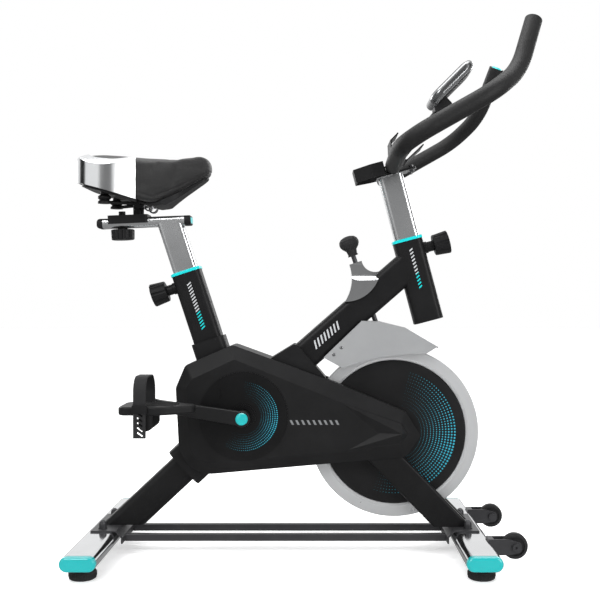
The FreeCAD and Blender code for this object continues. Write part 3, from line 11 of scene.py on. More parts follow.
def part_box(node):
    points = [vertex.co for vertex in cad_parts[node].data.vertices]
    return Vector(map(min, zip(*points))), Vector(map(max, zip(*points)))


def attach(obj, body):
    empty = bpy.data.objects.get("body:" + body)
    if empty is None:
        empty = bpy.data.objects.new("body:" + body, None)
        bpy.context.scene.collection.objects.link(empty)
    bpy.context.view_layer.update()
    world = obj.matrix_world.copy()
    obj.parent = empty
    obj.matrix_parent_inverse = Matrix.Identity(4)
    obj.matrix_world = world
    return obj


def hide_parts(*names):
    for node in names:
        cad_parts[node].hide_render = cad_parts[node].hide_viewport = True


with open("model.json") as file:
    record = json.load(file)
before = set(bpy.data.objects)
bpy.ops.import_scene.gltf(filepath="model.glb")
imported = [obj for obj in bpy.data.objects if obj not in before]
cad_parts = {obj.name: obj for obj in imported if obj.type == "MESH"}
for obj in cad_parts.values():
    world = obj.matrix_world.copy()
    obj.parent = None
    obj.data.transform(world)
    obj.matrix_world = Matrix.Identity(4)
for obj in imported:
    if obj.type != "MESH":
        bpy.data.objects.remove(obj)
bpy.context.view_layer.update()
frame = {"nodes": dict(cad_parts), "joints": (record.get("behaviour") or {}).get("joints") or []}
JOINTS = {joint["name"]: joint for joint in frame["joints"]}

bl_info = {
    "name": "Exercise Bike Looks",
    "version": (1, 0, 0),
    "blender": (4, 5, 0),
    "location": "3D View > Sidebar > Bike",
    "description": "Finishes, padding, springs, ribs and fittings of an indoor exercise bike",
    "category": "Object",
}

FULL_TURN = 2 * math.pi
STREAKS = (160.0, 160.0, 25.0)         # how much finer rubbed streaks are across than along
BEAM_RISE = math.radians(41.06)
PLATE_THICK = 0.0042                   # painted top plate of the handlebar post
CONSOLE_LENGTH = 0.116
CONSOLE_THICK = 0.020
WINDOW = (0.088, 0.094)                # display window's width and length
GLASS = (0.070, 0.040)
BACK_SHELL = (0.086, 0.092)
RIM_LIP = 0.151                        # radius inside which the flywheel's rim is polished
FOOT_HEIGHT = 0.017
STEM_RADIUS = 0.0049
STEM_TOP = 0.0438
THREAD_PITCH = 0.0015
KNOB_DISC = 0.0142
TREAD_RIBS = 6
KEEL_AHEAD = 0.034                     # the cushion's lowest point, ahead of the saddle's pivot
NOSE_THICK = 0.043
TAIL_RISE = 0.28
CHANNEL_OUT = 0.016                    # how far the sewn channels lie from the saddle's middle
CLOTH_FRAMES = 20
MATERIALS = {}


def colour(name, about, default):
    return FloatVectorProperty(name=name, description=about, default=default, size=3, min=0, max=1,
                               subtype="COLOR")


def length(name, about, default):
    return FloatProperty(name=name, description=about, default=default, min=0, unit="LENGTH", precision=5)


class BikeColours(bpy.types.PropertyGroup):
    """The colours that a user would change."""
    accent: colour("Accent", "Collars, caps and dots", (0.006, 0.46, 0.47))
    paint: colour("Paint", "Powder coat of the frame", (0.0055, 0.0055, 0.0058))
    plastic: colour("Plastic", "Shroud and trim", (0.0065, 0.0065, 0.0068))
    silver: colour("Silver plastic", "Flywheel guard and display rim", (0.30, 0.305, 0.31))
    metal: colour("Bright metal", "Posts, stabilisers and rim", (0.80, 0.81, 0.82))
    steel: colour("Plain steel", "Bolts and shafts", (0.46, 0.46, 0.47))
    rubber: colour("Rubber", "Feet, straps and tyres", (0.012, 0.012, 0.0125))
    foam: colour("Foam", "Handlebar sleeves", (0.0075, 0.0075, 0.0078))
    cover: colour("Saddle cover", "Synthetic leather", (0.010, 0.0098, 0.010))
    screen: colour("Screen", "Display window", (0.004, 0.005, 0.006))
    felt: colour("Felt", "Brake pad", (0.16, 0.14, 0.11))
    floor: colour("Floor", "Studio floor", (0.93, 0.93, 0.935))


class BikeSizes(bpy.types.PropertyGroup):
    """The sizes that a user would change."""
    voxel: length("Pad grid", "Grid size of the saddle pad", 0.005)
    swell: length("Pad swell", "Furthest that the pad may swell", 0.005)
    seam: length("Seam height", "Seam above the pad's lower edge", 0.011)
    wire: length("Spring wire", "Radius of the saddle springs' wire", 0.0015)
    coil: length("Spring coil", "Radius of the saddle springs", 0.0082)
    rib: length("Rib depth", "Depth of the feet's ribs", 0.0009)
    ribs: IntProperty(name="Ribs", description="Ribs round each foot", default=36, min=8)


class Graph:
    """Adds and joins the nodes of one tree."""

    def __init__(self, tree):
        self.tree = tree

    def add(self, kind, inputs=None, **settings):
        node = self.tree.nodes.new(kind)
        for key, value in settings.items():
            setattr(node, key, value)
        for key, value in (inputs or {}).items():
            self.feed(value, node.inputs[key])
        return node

    def feed(self, value, socket):
        if isinstance(value, bpy.types.NodeSocket):
            self.tree.links.new(value, socket)
        else:
            socket.default_value = value

    def math(self, operation, *values, clamp=False):
        inputs = dict(enumerate(values))
        return self.add("ShaderNodeMath", inputs, operation=operation, use_clamp=clamp).outputs[0]

    def noise(self, vector, scale, detail=2.0, roughness=0.5):
        inputs = {"Vector": vector, "Scale": scale, "Detail": detail, "Roughness": roughness}
        return self.add("ShaderNodeTexNoise", inputs).outputs["Fac"]

    def ramp(self, value, low, high, start=0.0, end=1.0):
        inputs = {"Value": value, "From Min": low, "From Max": high, "To Min": start, "To Max": end}
        return self.add("ShaderNodeMapRange", inputs).outputs["Result"]

    def blend(self, factor, first, second):
        inputs = {0: factor, 6: first, 7: second}
        return self.add("ShaderNodeMix", inputs, data_type="RGBA").outputs[2]

    def vector(self, operation, *values):
        """Vector maths: a number for a length or a dot product, and otherwise a vector."""
        node = self.add("ShaderNodeVectorMath", dict(enumerate(values)), operation=operation)
        return node.outputs["Value" if operation in ("LENGTH", "DOT_PRODUCT") else "Vector"]

    def radius(self, vector, centre):
        """Distance from an axis along Y through centre."""
        flat = self.vector("MULTIPLY", self.vector("SUBTRACT", vector, centre), (1.0, 0.0, 1.0))
        return self.vector("LENGTH", flat)

    def shade(self, amount, tint, dark, bright):
        """A tint that varies between two strengths."""
        return self.blend(amount, rgba(tint, dark), rgba(tint, bright))

    def group(self, name, **inputs):
        node = self.add("ShaderNodeGroup", node_tree=bpy.data.node_groups[name])
        for key, value in inputs.items():
            self.feed(value, node.inputs[key.replace("_", " ")])
        return node.outputs


def node_group(name, vectors, floats, results):
    """An empty node group with named sockets: its graph, its input sockets and its output node."""
    tree = bpy.data.node_groups.new(name, "ShaderNodeTree")
    for label in vectors.split():
        tree.interface.new_socket(label, in_out="INPUT", socket_type="NodeSocketVector")
    for label in floats.split():
        tree.interface.new_socket(label, in_out="INPUT", socket_type="NodeSocketFloat")
    for label in results.split():
        tree.interface.new_socket(label, in_out="OUTPUT", socket_type="NodeSocketFloat")
    graph = Graph(tree)
    source = graph.add("NodeGroupInput").outputs
    return graph, source, graph.add("NodeGroupOutput").inputs


def worn_surface():
    """Fine grain, handling smudges and dust: for every moulded, painted or rubber surface."""
    g, given, out = node_group("worn_surface", "Vector", "Grain Roughness Spread Dust",
                               "Roughness Height Shade Dust")
    grain = g.noise(given["Vector"], given["Grain"], 3.0, 0.6)
    smudge = g.noise(given["Vector"], 14.0, 5.0, 0.62)
    streak = g.noise(g.vector("MULTIPLY", given["Vector"], STREAKS), 1.0, 2.0)
    rubbed = g.math("MULTIPLY_ADD", g.math("SUBTRACT", smudge, 0.5), given["Spread"], given["Roughness"])
    faintly = g.math("MULTIPLY", given["Spread"], 0.4)
    rubbed = g.math("MULTIPLY_ADD", g.math("SUBTRACT", streak, 0.5), faintly, rubbed)
    g.feed(g.math("MULTIPLY_ADD", g.math("SUBTRACT", grain, 0.5), 0.06, rubbed, clamp=True), out["Roughness"])
    g.feed(grain, out["Height"])
    g.feed(g.ramp(g.math("MULTIPLY_ADD", grain, 0.35, smudge), 0.35, 0.95), out["Shade"])
    height = g.add("ShaderNodeSeparateXYZ", {0: given["Vector"]}).outputs["Z"]
    low = g.ramp(height, 0.30, 0.0)
    specks = g.ramp(g.noise(given["Vector"], 420.0, 4.0, 0.7), 0.52, 0.75)
    g.feed(g.math("MULTIPLY", g.math("MULTIPLY", low, specks), given["Dust"], clamp=True), out["Dust"])


def brushed_metal():
    """Long fine lines along one direction, set by the stretch vector."""
    g, given, out = node_group("brushed_metal", "Vector Stretch", "Roughness Spread",
                               "Roughness Height Shade")
    lines = g.noise(g.vector("MULTIPLY", given["Vector"], given["Stretch"]), 1.0, 3.0, 0.65)
    smudge = g.noise(given["Vector"], 11.0, 5.0, 0.6)
    worn = g.math("MULTIPLY_ADD", g.math("SUBTRACT", lines, 0.5), 0.5, g.math("SUBTRACT", smudge, 0.5))
    g.feed(g.math("MULTIPLY_ADD", worn, given["Spread"], given["Roughness"], clamp=True), out["Roughness"])
    g.feed(lines, out["Height"])
    g.feed(g.ramp(smudge, 0.3, 0.8), out["Shade"])


def pebble_grain():
    """Rounded cells with creases between them: leather when coarse, foam when fine. Its Shade output paints
    the creases darker as painted shade.
    """
    g, given, out = node_group("pebble_grain", "Vector", "Scale", "Height Shade")
    warp = g.add("ShaderNodeTexNoise", {"Vector": given["Vector"], "Scale": 130.0}).outputs["Color"]
    bent = g.vector("MULTIPLY_ADD", warp, (0.0035, 0.0035, 0.0035), given["Vector"])
    cells = g.add("ShaderNodeTexVoronoi", {"Vector": bent, "Scale": given["Scale"]},
                  feature="DISTANCE_TO_EDGE").outputs["Distance"]
    pebbles = g.ramp(cells, 0.0, 0.28)
    fine = g.noise(given["Vector"], 2600.0, 2.0)
    g.feed(g.math("MULTIPLY_ADD", fine, 0.25, pebbles), out["Height"])
    # Shade is lowest in the creases between cells: painted shade in the creases
    g.feed(pebbles, out["Shade"])


def turned_rings():
    """Fine rings left by a lathe, round an axis along Y."""
    g, given, out = node_group("turned_rings", "Vector Centre", "Rings", "Height Shade")
    along = g.math("MULTIPLY", g.radius(given["Vector"], given["Centre"]), given["Rings"])
    lines = g.add("ShaderNodeTexNoise", {"W": along, "Scale": 1.0, "Detail": 3.0},
                  noise_dimensions="1D").outputs["Fac"]
    g.feed(lines, out["Height"])
    g.feed(g.ramp(lines, 0.3, 0.7), out["Shade"])


def dot_fan():
    """Dots in rings round an axis along Y: they grow outwards and fade towards both ends of the fan."""
    g, given, out = node_group("dot_fan", "Vector Centre", "Inner Rings Pitch Step Middle Reach Size", "Mask")
    offset = g.vector("SUBTRACT", given["Vector"], given["Centre"])
    axes = g.add("ShaderNodeSeparateXYZ", {0: offset}).outputs
    radius = g.radius(given["Vector"], given["Centre"])
    angle = g.math("ARCTAN2", axes["Z"], axes["X"])
    ring = g.math("DIVIDE", g.math("SUBTRACT", radius, given["Inner"]), given["Pitch"])
    whole = g.math("ROUND", ring)
    out_of_ring = g.math("MULTIPLY", g.math("SUBTRACT", ring, whole), given["Pitch"])
    turn = g.math("DIVIDE", angle, given["Step"])
    nearest = g.math("ROUND", turn)
    along = g.math("MULTIPLY", g.math("MULTIPLY", g.math("SUBTRACT", turn, nearest), given["Step"]), radius)
    away = g.math("SQRT", g.math("ADD", g.math("POWER", out_of_ring, 2.0), g.math("POWER", along, 2.0)))
    bearing = g.math("MULTIPLY", nearest, given["Step"])
    from_middle = g.math("ABSOLUTE", g.math("SUBTRACT", bearing, given["Middle"]))
    left = g.math("SUBTRACT", 1.0, g.math("DIVIDE", from_middle, given["Reach"]), clamp=True)
    fade = g.math("POWER", left, 0.8)
    grow = g.math("MULTIPLY_ADD", g.math("DIVIDE", whole, given["Rings"]), 0.85, 0.2)
    size = g.math("MULTIPLY", g.math("MULTIPLY", fade, grow), given["Size"])
    dot = g.ramp(g.math("SUBTRACT", size, away), -0.00012, 0.00012)
    last = g.math("LESS_THAN", whole, given["Rings"])
    inside = g.math("MULTIPLY", g.math("GREATER_THAN", whole, -0.5), last)
    strong = g.math("GREATER_THAN", fade, 0.12)
    g.feed(g.math("MULTIPLY", g.math("MULTIPLY", dot, inside), strong), out["Mask"])


def bar_marks():
    """A row of plain slanted bars on a tube's outer faces, along a direction from a start point."""
    g, given, out = node_group("bar_marks", "Vector Start Along Across", "Pitch Count Half Slant Fill",
                               "Mask Late")
    offset = g.vector("SUBTRACT", given["Vector"], given["Start"])
    along = g.vector("DOT_PRODUCT", offset, given["Along"])
    across = g.vector("DOT_PRODUCT", offset, given["Across"])
    count = g.math("DIVIDE", g.math("MULTIPLY_ADD", across, given["Slant"], along), given["Pitch"])
    bar = g.math("LESS_THAN", g.math("FRACT", count), given["Fill"])
    short = g.math("LESS_THAN", count, given["Count"])
    within = g.math("MULTIPLY", g.math("GREATER_THAN", count, 0.0), short)
    band = g.math("LESS_THAN", g.math("ABSOLUTE", across), given["Half"])
    g.feed(g.math("MULTIPLY", g.math("MULTIPLY", bar, within), band), out["Mask"])
    g.feed(g.math("GREATER_THAN", count, g.math("MULTIPLY", given["Count"], 0.6)), out["Late"])


def rgba(values, factor=1.0):
    return (values[0] * factor, values[1] * factor, values[2] * factor, 1.0)


def start_material(name):
    """A new finish, kept in MATERIALS: its graph, its shader and its Object coordinates."""
    material = bpy.data.materials.new(name)
    material.use_nodes = True
    MATERIALS[name] = material
    graph = Graph(material.node_tree)
    return graph, graph.tree.nodes["Principled BSDF"], graph.add("ShaderNodeTexCoord").outputs["Object"]


def bump(g, shader, height, depth):
    node = g.add("ShaderNodeBump", {"Strength": 1.0, "Distance": depth, "Height": height})
    g.feed(node.outputs["Normal"], shader.inputs["Normal"])


def moulded(name, tint, roughness, spread=0.12, grain=1500.0, depth=0.00004, coat=0.0, specular=0.16,
            dust=0.06, metallic=0.0, lift=1.7):
    """Painted, plastic or rubber finish. Returns what a later step may paint over."""
    g, shader, coords = start_material(name)
    worn = g.group("worn_surface", Vector=coords, Grain=grain, Roughness=roughness, Spread=spread, Dust=dust)
    base = g.shade(worn["Shade"], tint, 1.0, lift)
    base = g.blend(worn["Dust"], base, (0.16, 0.155, 0.15, 1.0))
    g.feed(base, shader.inputs["Base Color"])
    g.feed(worn["Roughness"], shader.inputs["Roughness"])
    shader.inputs["Metallic"].default_value = metallic
    shader.inputs["Specular IOR Level"].default_value = specular
    shader.inputs["Coat Weight"].default_value = coat
    shader.inputs["Coat Roughness"].default_value = 0.15
    bump(g, shader, worn["Height"], depth)
    return g, shader, coords, base


def brushed(name, tint, roughness, stretch, spread=0.16, depth=0.00003):
    g, shader, coords = start_material(name)
    lines = g.group("brushed_metal", Vector=coords, Stretch=stretch, Roughness=roughness, Spread=spread)
    g.feed(g.shade(lines["Shade"], tint, 0.86, 1.0), shader.inputs["Base Color"])
    g.feed(lines["Roughness"], shader.inputs["Roughness"])
    shader.inputs["Metallic"].default_value = 1.0
    bump(g, shader, lines["Height"], depth)


def pebbled(name, tint, roughness, scale, depth, sheen):
    g, shader, coords = start_material(name)
    cells = g.group("pebble_grain", Vector=coords, Scale=scale)
    worn = g.group("worn_surface", Vector=coords, Grain=900.0, Roughness=roughness, Spread=0.16, Dust=0.0)
    # The cells' Shade paints the creases darker (painted shade), mixed with the grain's random tone
    shade = g.math("MULTIPLY", cells["Shade"], worn["Shade"])
    g.feed(g.shade(shade, tint, 0.6, 1.9), shader.inputs["Base Color"])
    g.feed(worn["Roughness"], shader.inputs["Roughness"])
    shader.inputs["Specular IOR Level"].default_value = 0.35
    shader.inputs["Sheen Weight"].default_value = sheen
    bump(g, shader, cells["Height"], depth)


def turned(name, tint, roughness, centre, metallic=1.0, lip=0.0):
    """Lathe-turned metal round an axis along Y. Outside the lip's radius it is as cast: duller and darker."""
    g, shader, coords = start_material(name)
    rings = g.group("turned_rings", Vector=coords, Centre=centre, Rings=5200.0)
    smudge = g.group("brushed_metal", Vector=coords, Stretch=(30.0, 30.0, 30.0), Roughness=roughness,
                     Spread=0.14)
    base = g.shade(rings["Shade"], tint, 0.88, 1.0)
    cast = g.ramp(g.radius(coords, centre), lip, lip + 0.0006)
    g.feed(g.blend(cast, base, rgba(tint, 0.62)), shader.inputs["Base Color"])
    g.feed(g.math("MULTIPLY_ADD", cast, 0.12, smudge["Roughness"]), shader.inputs["Roughness"])
    shader.inputs["Metallic"].default_value = metallic
    bump(g, shader, rings["Height"], 0.00003)


def marked(name, tint, roughness, accent, pale, marks, grain=1700.0, depth=0.00004):
    """Painted or plastic finish with a row of plain bars, the last ones in the accent colour."""
    g, shader, coords, base = moulded(name, tint, roughness, grain=grain, depth=depth)
    for mark in marks:
        bars = g.group("bar_marks", Vector=coords, **mark)
        ink = g.blend(bars["Late"], rgba(pale), rgba(accent))
        base = g.blend(bars["Mask"], base, ink)
    g.feed(base, shader.inputs["Base Color"])


def side_mask(g, coords, point, out, soft=0.0004):
    """1 where a place lies beyond a plane through point, along out."""
    along = g.vector("DOT_PRODUCT", g.vector("SUBTRACT", coords, point), out)
    return g.ramp(along, -soft, soft)


def plated_post(name, metal, paint, point, up):
    """Metal post whose top plate, beyond a plane, is painted."""
    g, shader, coords = start_material(name)
    lines = g.group("brushed_metal", Vector=coords, Stretch=(420.0, 420.0, 420.0), Roughness=0.27,
                    Spread=0.03)
    worn = g.group("worn_surface", Vector=coords, Grain=1500.0, Roughness=0.42, Spread=0.12, Dust=0.0)
    plate = side_mask(g, coords, point, up)
    bright = g.shade(lines["Shade"], metal, 0.9, 1.0)
    black = g.shade(worn["Shade"], paint, 1.0, 1.7)
    g.feed(g.blend(plate, bright, black), shader.inputs["Base Color"])
    g.feed(g.math("SUBTRACT", 1.0, plate), shader.inputs["Metallic"])
    rough = g.add("ShaderNodeMix", {0: plate, 2: lines["Roughness"], 3: worn["Roughness"]}).outputs[0]
    g.feed(rough, shader.inputs["Roughness"])
    shader.inputs["Specular IOR Level"].default_value = 0.16
    bump(g, shader, worn["Height"], 0.0000006)


def display_case(name, silver, plastic, point, out, thick):
    """Metal-look case of the display: what lies behind its back face is black plastic. Its front and back
    edges are painted lighter as a painted highlight, and the band between them darker as painted shade.
    """
    g, shader, coords = start_material(name)
    worn = g.group("worn_surface", Vector=coords, Grain=2400.0, Roughness=0.24, Spread=0.10, Dust=0.0)
    behind = side_mask(g, coords, point, -Vector(out))
    front = side_mask(g, coords, Vector(point) + Vector(out) * thick * 0.80, out, thick * 0.10)
    rear = side_mask(g, coords, Vector(point) + Vector(out) * thick * 0.20, -Vector(out), thick * 0.10)
    # rim marks the front and back edge bands, which are painted lighter as a painted highlight; the middle
    # band is painted darker as painted shade
    rim = g.math("ADD", front, rear, clamp=True)
    body = g.shade(rim, silver, 0.62, 1.25)
    body = g.blend(worn["Shade"], g.blend(0.5, body, rgba(silver, 0.8)), body)
    black = g.shade(worn["Shade"], plastic, 1.0, 1.7)
    g.feed(g.blend(behind, body, black), shader.inputs["Base Color"])
    g.feed(g.math("MULTIPLY", g.math("SUBTRACT", 1.0, behind), 0.9), shader.inputs["Metallic"])
    g.feed(g.math("MULTIPLY_ADD", behind, 0.2, worn["Roughness"]), shader.inputs["Roughness"])
    shader.inputs["Specular IOR Level"].default_value = 0.3
    bump(g, shader, worn["Height"], 0.000001)


def dotted(name, tint, roughness, accent, fan):
    """Satin black disc with a fan of accent dots."""
    g, shader, coords, base = moulded(name, tint, roughness, grain=1200.0, dust=0.1)
    mask = g.group("dot_fan", Vector=coords, **fan)["Mask"]
    ink = (accent[0] + 0.02, accent[1] * 0.62, accent[2] * 0.82, 1.0)
    g.feed(g.blend(mask, base, ink), shader.inputs["Base Color"])


def corners_of(node):
    """Every corner point of a CAD node at rest."""
    return [Vector(vert.co) for vert in frame["nodes"][node].data.vertices]


def axis_of(joint):
    return Vector(JOINTS[joint]["axis"]).normalized()


def spot_of(joint):
    return Vector(JOINTS[joint]["pos_m"])


def marks(start, along, pitch, count, half, slant=0.5, fill=0.42):
    """A row of slanted bars from a start point, standing half out on each side of its line."""
    return {"Start": start, "Along": along, "Across": Vector((-along.z, 0, along.x)), "Pitch": pitch,
            "Count": count, "Half": half, "Slant": slant, "Fill": fill}


def fan(centre, inner, rings, pitch, step, middle, reach, size):
    return {"Centre": centre, "Inner": inner, "Rings": rings, "Pitch": pitch, "Step": step, "Middle": middle,
            "Reach": reach, "Size": size}


def paint_materials(tints):
    """Powder coat and the marks on it."""
    pale = (0.42, 0.43, 0.44)
    down_seat = -axis_of("seat_height")
    down_head = -axis_of("handlebar_height")
    along_beam = Vector((math.cos(BEAM_RISE), 0, math.sin(BEAM_RISE)))
    beam_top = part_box("main_beam")[1]
    beam_start = Vector((beam_top.x - 0.006, 0, beam_top.z - 0.020)) - along_beam * 0.245
    seat = marks(spot_of("seat_pin_turn"), down_seat, 0.0062, 16.0, 0.0044)
    head = marks(spot_of("bar_pin_turn") - down_head * 0.004, down_head, 0.0070, 12.0, 0.0034)
    moulded("frame_paint", tints.paint, 0.42)
    moulded("crank_paint", tints.paint, 0.38, spread=0.2, specular=0.3)
    marked("seat_tube_paint", tints.paint, 0.42, tints.accent, pale, [seat])
    marked("head_tube_paint", tints.paint, 0.42, tints.accent, pale, [head])
    beam = marks(beam_start, along_beam, 0.0085, 8.0, 0.0080, slant=-0.5)
    marked("beam_paint", tints.paint, 0.42, pale, pale, [beam])


def plastic_materials(tints):
    """Shroud, trim, guard, caps and discs."""
    faint = (0.16, 0.165, 0.17)
    wheel = spot_of("flywheel_spin")
    crank = spot_of("crank_spin")
    start = crank + Vector((0.094, 0, -0.012))
    shroud = marks(start, Vector((1, 0, 0)), 0.0112, 9.0, 0.0046, fill=0.4)
    marked("shroud_plastic", tints.plastic, 0.46, faint, faint, [shroud], grain=1100.0, depth=0.00007)
    moulded("black_plastic", tints.plastic, 0.45, grain=1100.0, depth=0.00006)
    moulded("silver_plastic", tints.silver, 0.34, grain=2200.0, depth=0.00003, metallic=0.35, lift=1.15,
            specular=0.3)
    moulded("bright_plastic", tints.metal, 0.16, spread=0.10, grain=2600.0, depth=0.00002, metallic=1.0,
            lift=1.03, dust=0.05)
    moulded("teal_plastic", tints.accent, 0.28, grain=1600.0, depth=0.00003, coat=0.25, lift=1.12, dust=0.15)
    moulded("teal_gloss", [value * 0.72 for value in tints.accent], 0.20, grain=1600.0, depth=0.00002,
            coat=0.7, specular=0.5, lift=1.1, dust=0.1)
    dotted("flywheel_black", tints.plastic, 0.40, tints.accent,
           fan(wheel, 0.056, 12.0, 0.0062, 0.0500, -0.28, 1.75, 0.00215))
    dotted("disc_black", [value * 0.7 for value in tints.plastic], 0.30, tints.accent,
           fan(crank, 0.036, 8.0, 0.0045, 0.060, -0.30, 1.95, 0.00145))


def soft_materials(tints):
    """Rubber, foam, synthetic leather and felt."""
    moulded("rubber_black", tints.rubber, 0.66, spread=0.2, grain=800.0, depth=0.00012, dust=0.15)
    pebbled("foam_black", tints.foam, 0.55, 1700.0, 0.00004, 0.0)
    pebbled("seat_cover", tints.cover, 0.44, 620.0, 0.00016, 0.1)
    pebbled("felt_pad", tints.felt, 0.95, 2400.0, 0.0003, 0.6)


def metal_materials(tints):
    """Chrome, satin posts, plain steel and the flywheel's rim."""
    up = axis_of("handlebar_height")
    post_top = max(corners_of("handlebar_post"), key=up.dot)
    plated_post("handlebar_post", tints.metal, tints.paint, post_top - up * PLATE_THICK, up)
    brushed("steel_chrome", tints.metal, 0.12, (60.0, 60.0, 60.0), spread=0.06, depth=0.000004)
    brushed("post_metal", tints.metal, 0.27, (420.0, 420.0, 420.0), spread=0.03, depth=0.0000003)
    moulded("dark_steel", (0.055, 0.055, 0.058), 0.36, metallic=0.6, lift=1.3)
    brushed("bare_steel", tints.steel, 0.28, (700.0, 60.0, 700.0))
    turned("rim_metal", tints.metal, 0.17, spot_of("flywheel_spin"), metallic=0.45, lip=RIM_LIP)


def display_materials(tints):
    """The display's case, window and glass."""
    out = -axis_of("button_press")
    face = max(corner.dot(out) for corner in corners_of("console_body"))
    back = out * (face - CONSOLE_THICK)
    display_case("display_case", tints.silver, tints.plastic, back, out, CONSOLE_THICK)
    moulded("screen_gloss", tints.screen, 0.10, spread=0.06, grain=3000.0, depth=0.000005, coat=0.6, dust=0.0)
    moulded("display_glass", (0.085, 0.105, 0.085), 0.14, spread=0.05, grain=3000.0, depth=0.000004, coat=0.4,
            dust=0.0, lift=1.1)


NODE_FINISH = {
    "main_beam": "beam_paint", "rear_leg_tube": "frame_paint", "seat_tube": "seat_tube_paint",
    "head_tube": "head_tube_paint", "fork_legs": "frame_paint", "base_frame": "dark_steel",
    "stabilisers": "steel_chrome", "stabiliser_end_caps": "teal_gloss", "stabiliser_bolts": "dark_steel",
    "right_shroud": "shroud_plastic", "left_shroud": "shroud_plastic", "crank_discs": "disc_black",
    "neck_covers": "black_plastic", "tube_bushings": "teal_plastic", "flywheel_guard": "silver_plastic",
    "brake_housing": "bright_plastic", "bearings": "bare_steel", "drive_belt": "rubber_black",
    "transport_brackets": "dark_steel", "crank_axle": "bare_steel", "crank_arms": "crank_paint",
    "crank_caps": "teal_gloss", "drive_pulley": "black_plastic", "pedal_spindles": "bare_steel",
    "flywheel": "rim_metal", "flywheel_covers": "flywheel_black", "flywheel_axle": "bare_steel",
    "small_pulley": "bare_steel", "right_pedal": "black_plastic", "left_pedal": "black_plastic",
    "right_pedal_strap": "rubber_black", "left_pedal_strap": "rubber_black", "seat_post": "post_metal",
    "rail_caps": "black_plastic", "saddle_carriage": "frame_paint", "slider_knob": "black_plastic",
    "saddle_base": "black_plastic", "saddle_rear_cover": "bright_plastic", "seat_pin_barrel": "black_plastic",
    "seat_pin_knob": "black_plastic", "bar_pin_barrel": "black_plastic", "bar_pin_knob": "black_plastic",
    "handlebar_post": "handlebar_post", "handlebar": "frame_paint", "handlebar_grips": "foam_black",
    "bar_end_caps": "teal_plastic", "bottle_holder": "black_plastic", "device_cradle": "frame_paint",
    "console_body": "display_case", "console_button": "black_plastic", "resistance_knob": "rubber_black",
    "brake_rod": "dark_steel", "brake_pad": "felt_pad", "right_transport_wheel": "rubber_black",
    "left_transport_wheel": "rubber_black",
}


def facing(spot, direction):
    """Places a shape drawn along Z at a spot, along a direction."""
    return Matrix.Translation(spot) @ Vector(direction).to_track_quat("Z", "Y").to_matrix().to_4x4()


def gather(shapes):
    """One bmesh from several (bmesh, placement) pairs."""
    whole = bmesh.new()
    for shape, place in shapes:
        bmesh.ops.transform(shape, matrix=place, verts=shape.verts)
        carrier = bpy.data.meshes.new("carrier")
        shape.to_mesh(carrier)
        shape.free()
        whole.from_mesh(carrier)
        bpy.data.meshes.remove(carrier)
    return whole


def lathe(profile, segments=40):
    """Turns (radius, height) points about Z."""
    bm = bmesh.new()
    verts = [bm.verts.new((radius, 0, height)) for radius, height in profile]
    edges = [bm.edges.new(pair) for pair in zip(verts, verts[1:])]
    bmesh.ops.spin(bm, geom=verts + edges, cent=(0, 0, 0), axis=(0, 0, 1), angle=FULL_TURN, steps=segments,
                   use_merge=True)
    bmesh.ops.remove_doubles(bm, verts=bm.verts, dist=0.000005)
    bmesh.ops.recalc_face_normals(bm, faces=bm.faces)
    return bm


def coil(wire, radius, rise, turns):
    """A round wire wound about Z."""
    bm = bmesh.new()
    place = Matrix.Translation((radius, 0, 0)) @ Matrix.Rotation(math.pi / 2, 4, "X")
    ring = bmesh.ops.create_circle(bm, segments=8, radius=wire, matrix=place)["verts"]
    edges = list({edge for vert in ring for edge in vert.link_edges})
    steps = int(22 * turns)
    bmesh.ops.spin(bm, geom=ring + edges, cent=(0, 0, 0), axis=(0, 0, 1), dvec=(0, 0, rise / steps),
                   angle=FULL_TURN * turns, steps=steps)
    open_edges = [edge for edge in bm.edges if edge.is_boundary]
    bmesh.ops.holes_fill(bm, edges=open_edges, sides=0)
    bmesh.ops.recalc_face_normals(bm, faces=bm.faces)
    return bm


def slab(width, depth, thick, corner, edge):
    """Flat rounded plate on XY, its base at Z=0."""
    bm = bmesh.new()
    bmesh.ops.create_cube(bm, size=1.0, matrix=Matrix.Translation((0, 0, thick / 2)) @ Matrix.Diagonal(
        (width, depth, thick, 1)))
    upright = [e for e in bm.edges if abs(e.verts[0].co.z - e.verts[1].co.z) > thick / 2]
    bmesh.ops.bevel(bm, geom=upright, offset=corner, segments=8, profile=0.5, affect="EDGES", material=-1)
    top = [e for e in bm.edges if min(v.co.z for v in e.verts) > thick * 0.99]
    bmesh.ops.bevel(bm, geom=top, offset=edge, segments=3, profile=0.5, affect="EDGES", material=-1)
    return bm


def bearing_of(face):
    """Angle of a face's middle about Z."""
    middle = face.calc_center_median()
    return math.atan2(middle.y, middle.x)


def hex_bolt(across, head, washer):
    """Hexagon head on a washer, along Z."""
    bm = bmesh.new()
    bmesh.ops.create_cone(bm, cap_ends=True, segments=6, radius1=across / 2, radius2=across / 2, depth=head,
                          matrix=Matrix.Translation((0, 0, washer + head / 2)))
    top = [e for e in bm.edges if min(v.co.z for v in e.verts) > washer + head * 0.9]
    bmesh.ops.bevel(bm, geom=top, offset=head * 0.14, segments=2, profile=0.5, affect="EDGES", material=-1)
    ring = lathe([(0.0, 0.0), (across * 0.68, 0.0), (across * 0.72, washer * 0.3),
                  (across * 0.72, washer * 0.8), (across * 0.68, washer), (0.0, washer)], 28)
    return gather([(bm, Matrix.Identity(4)), (ring, Matrix.Identity(4))])


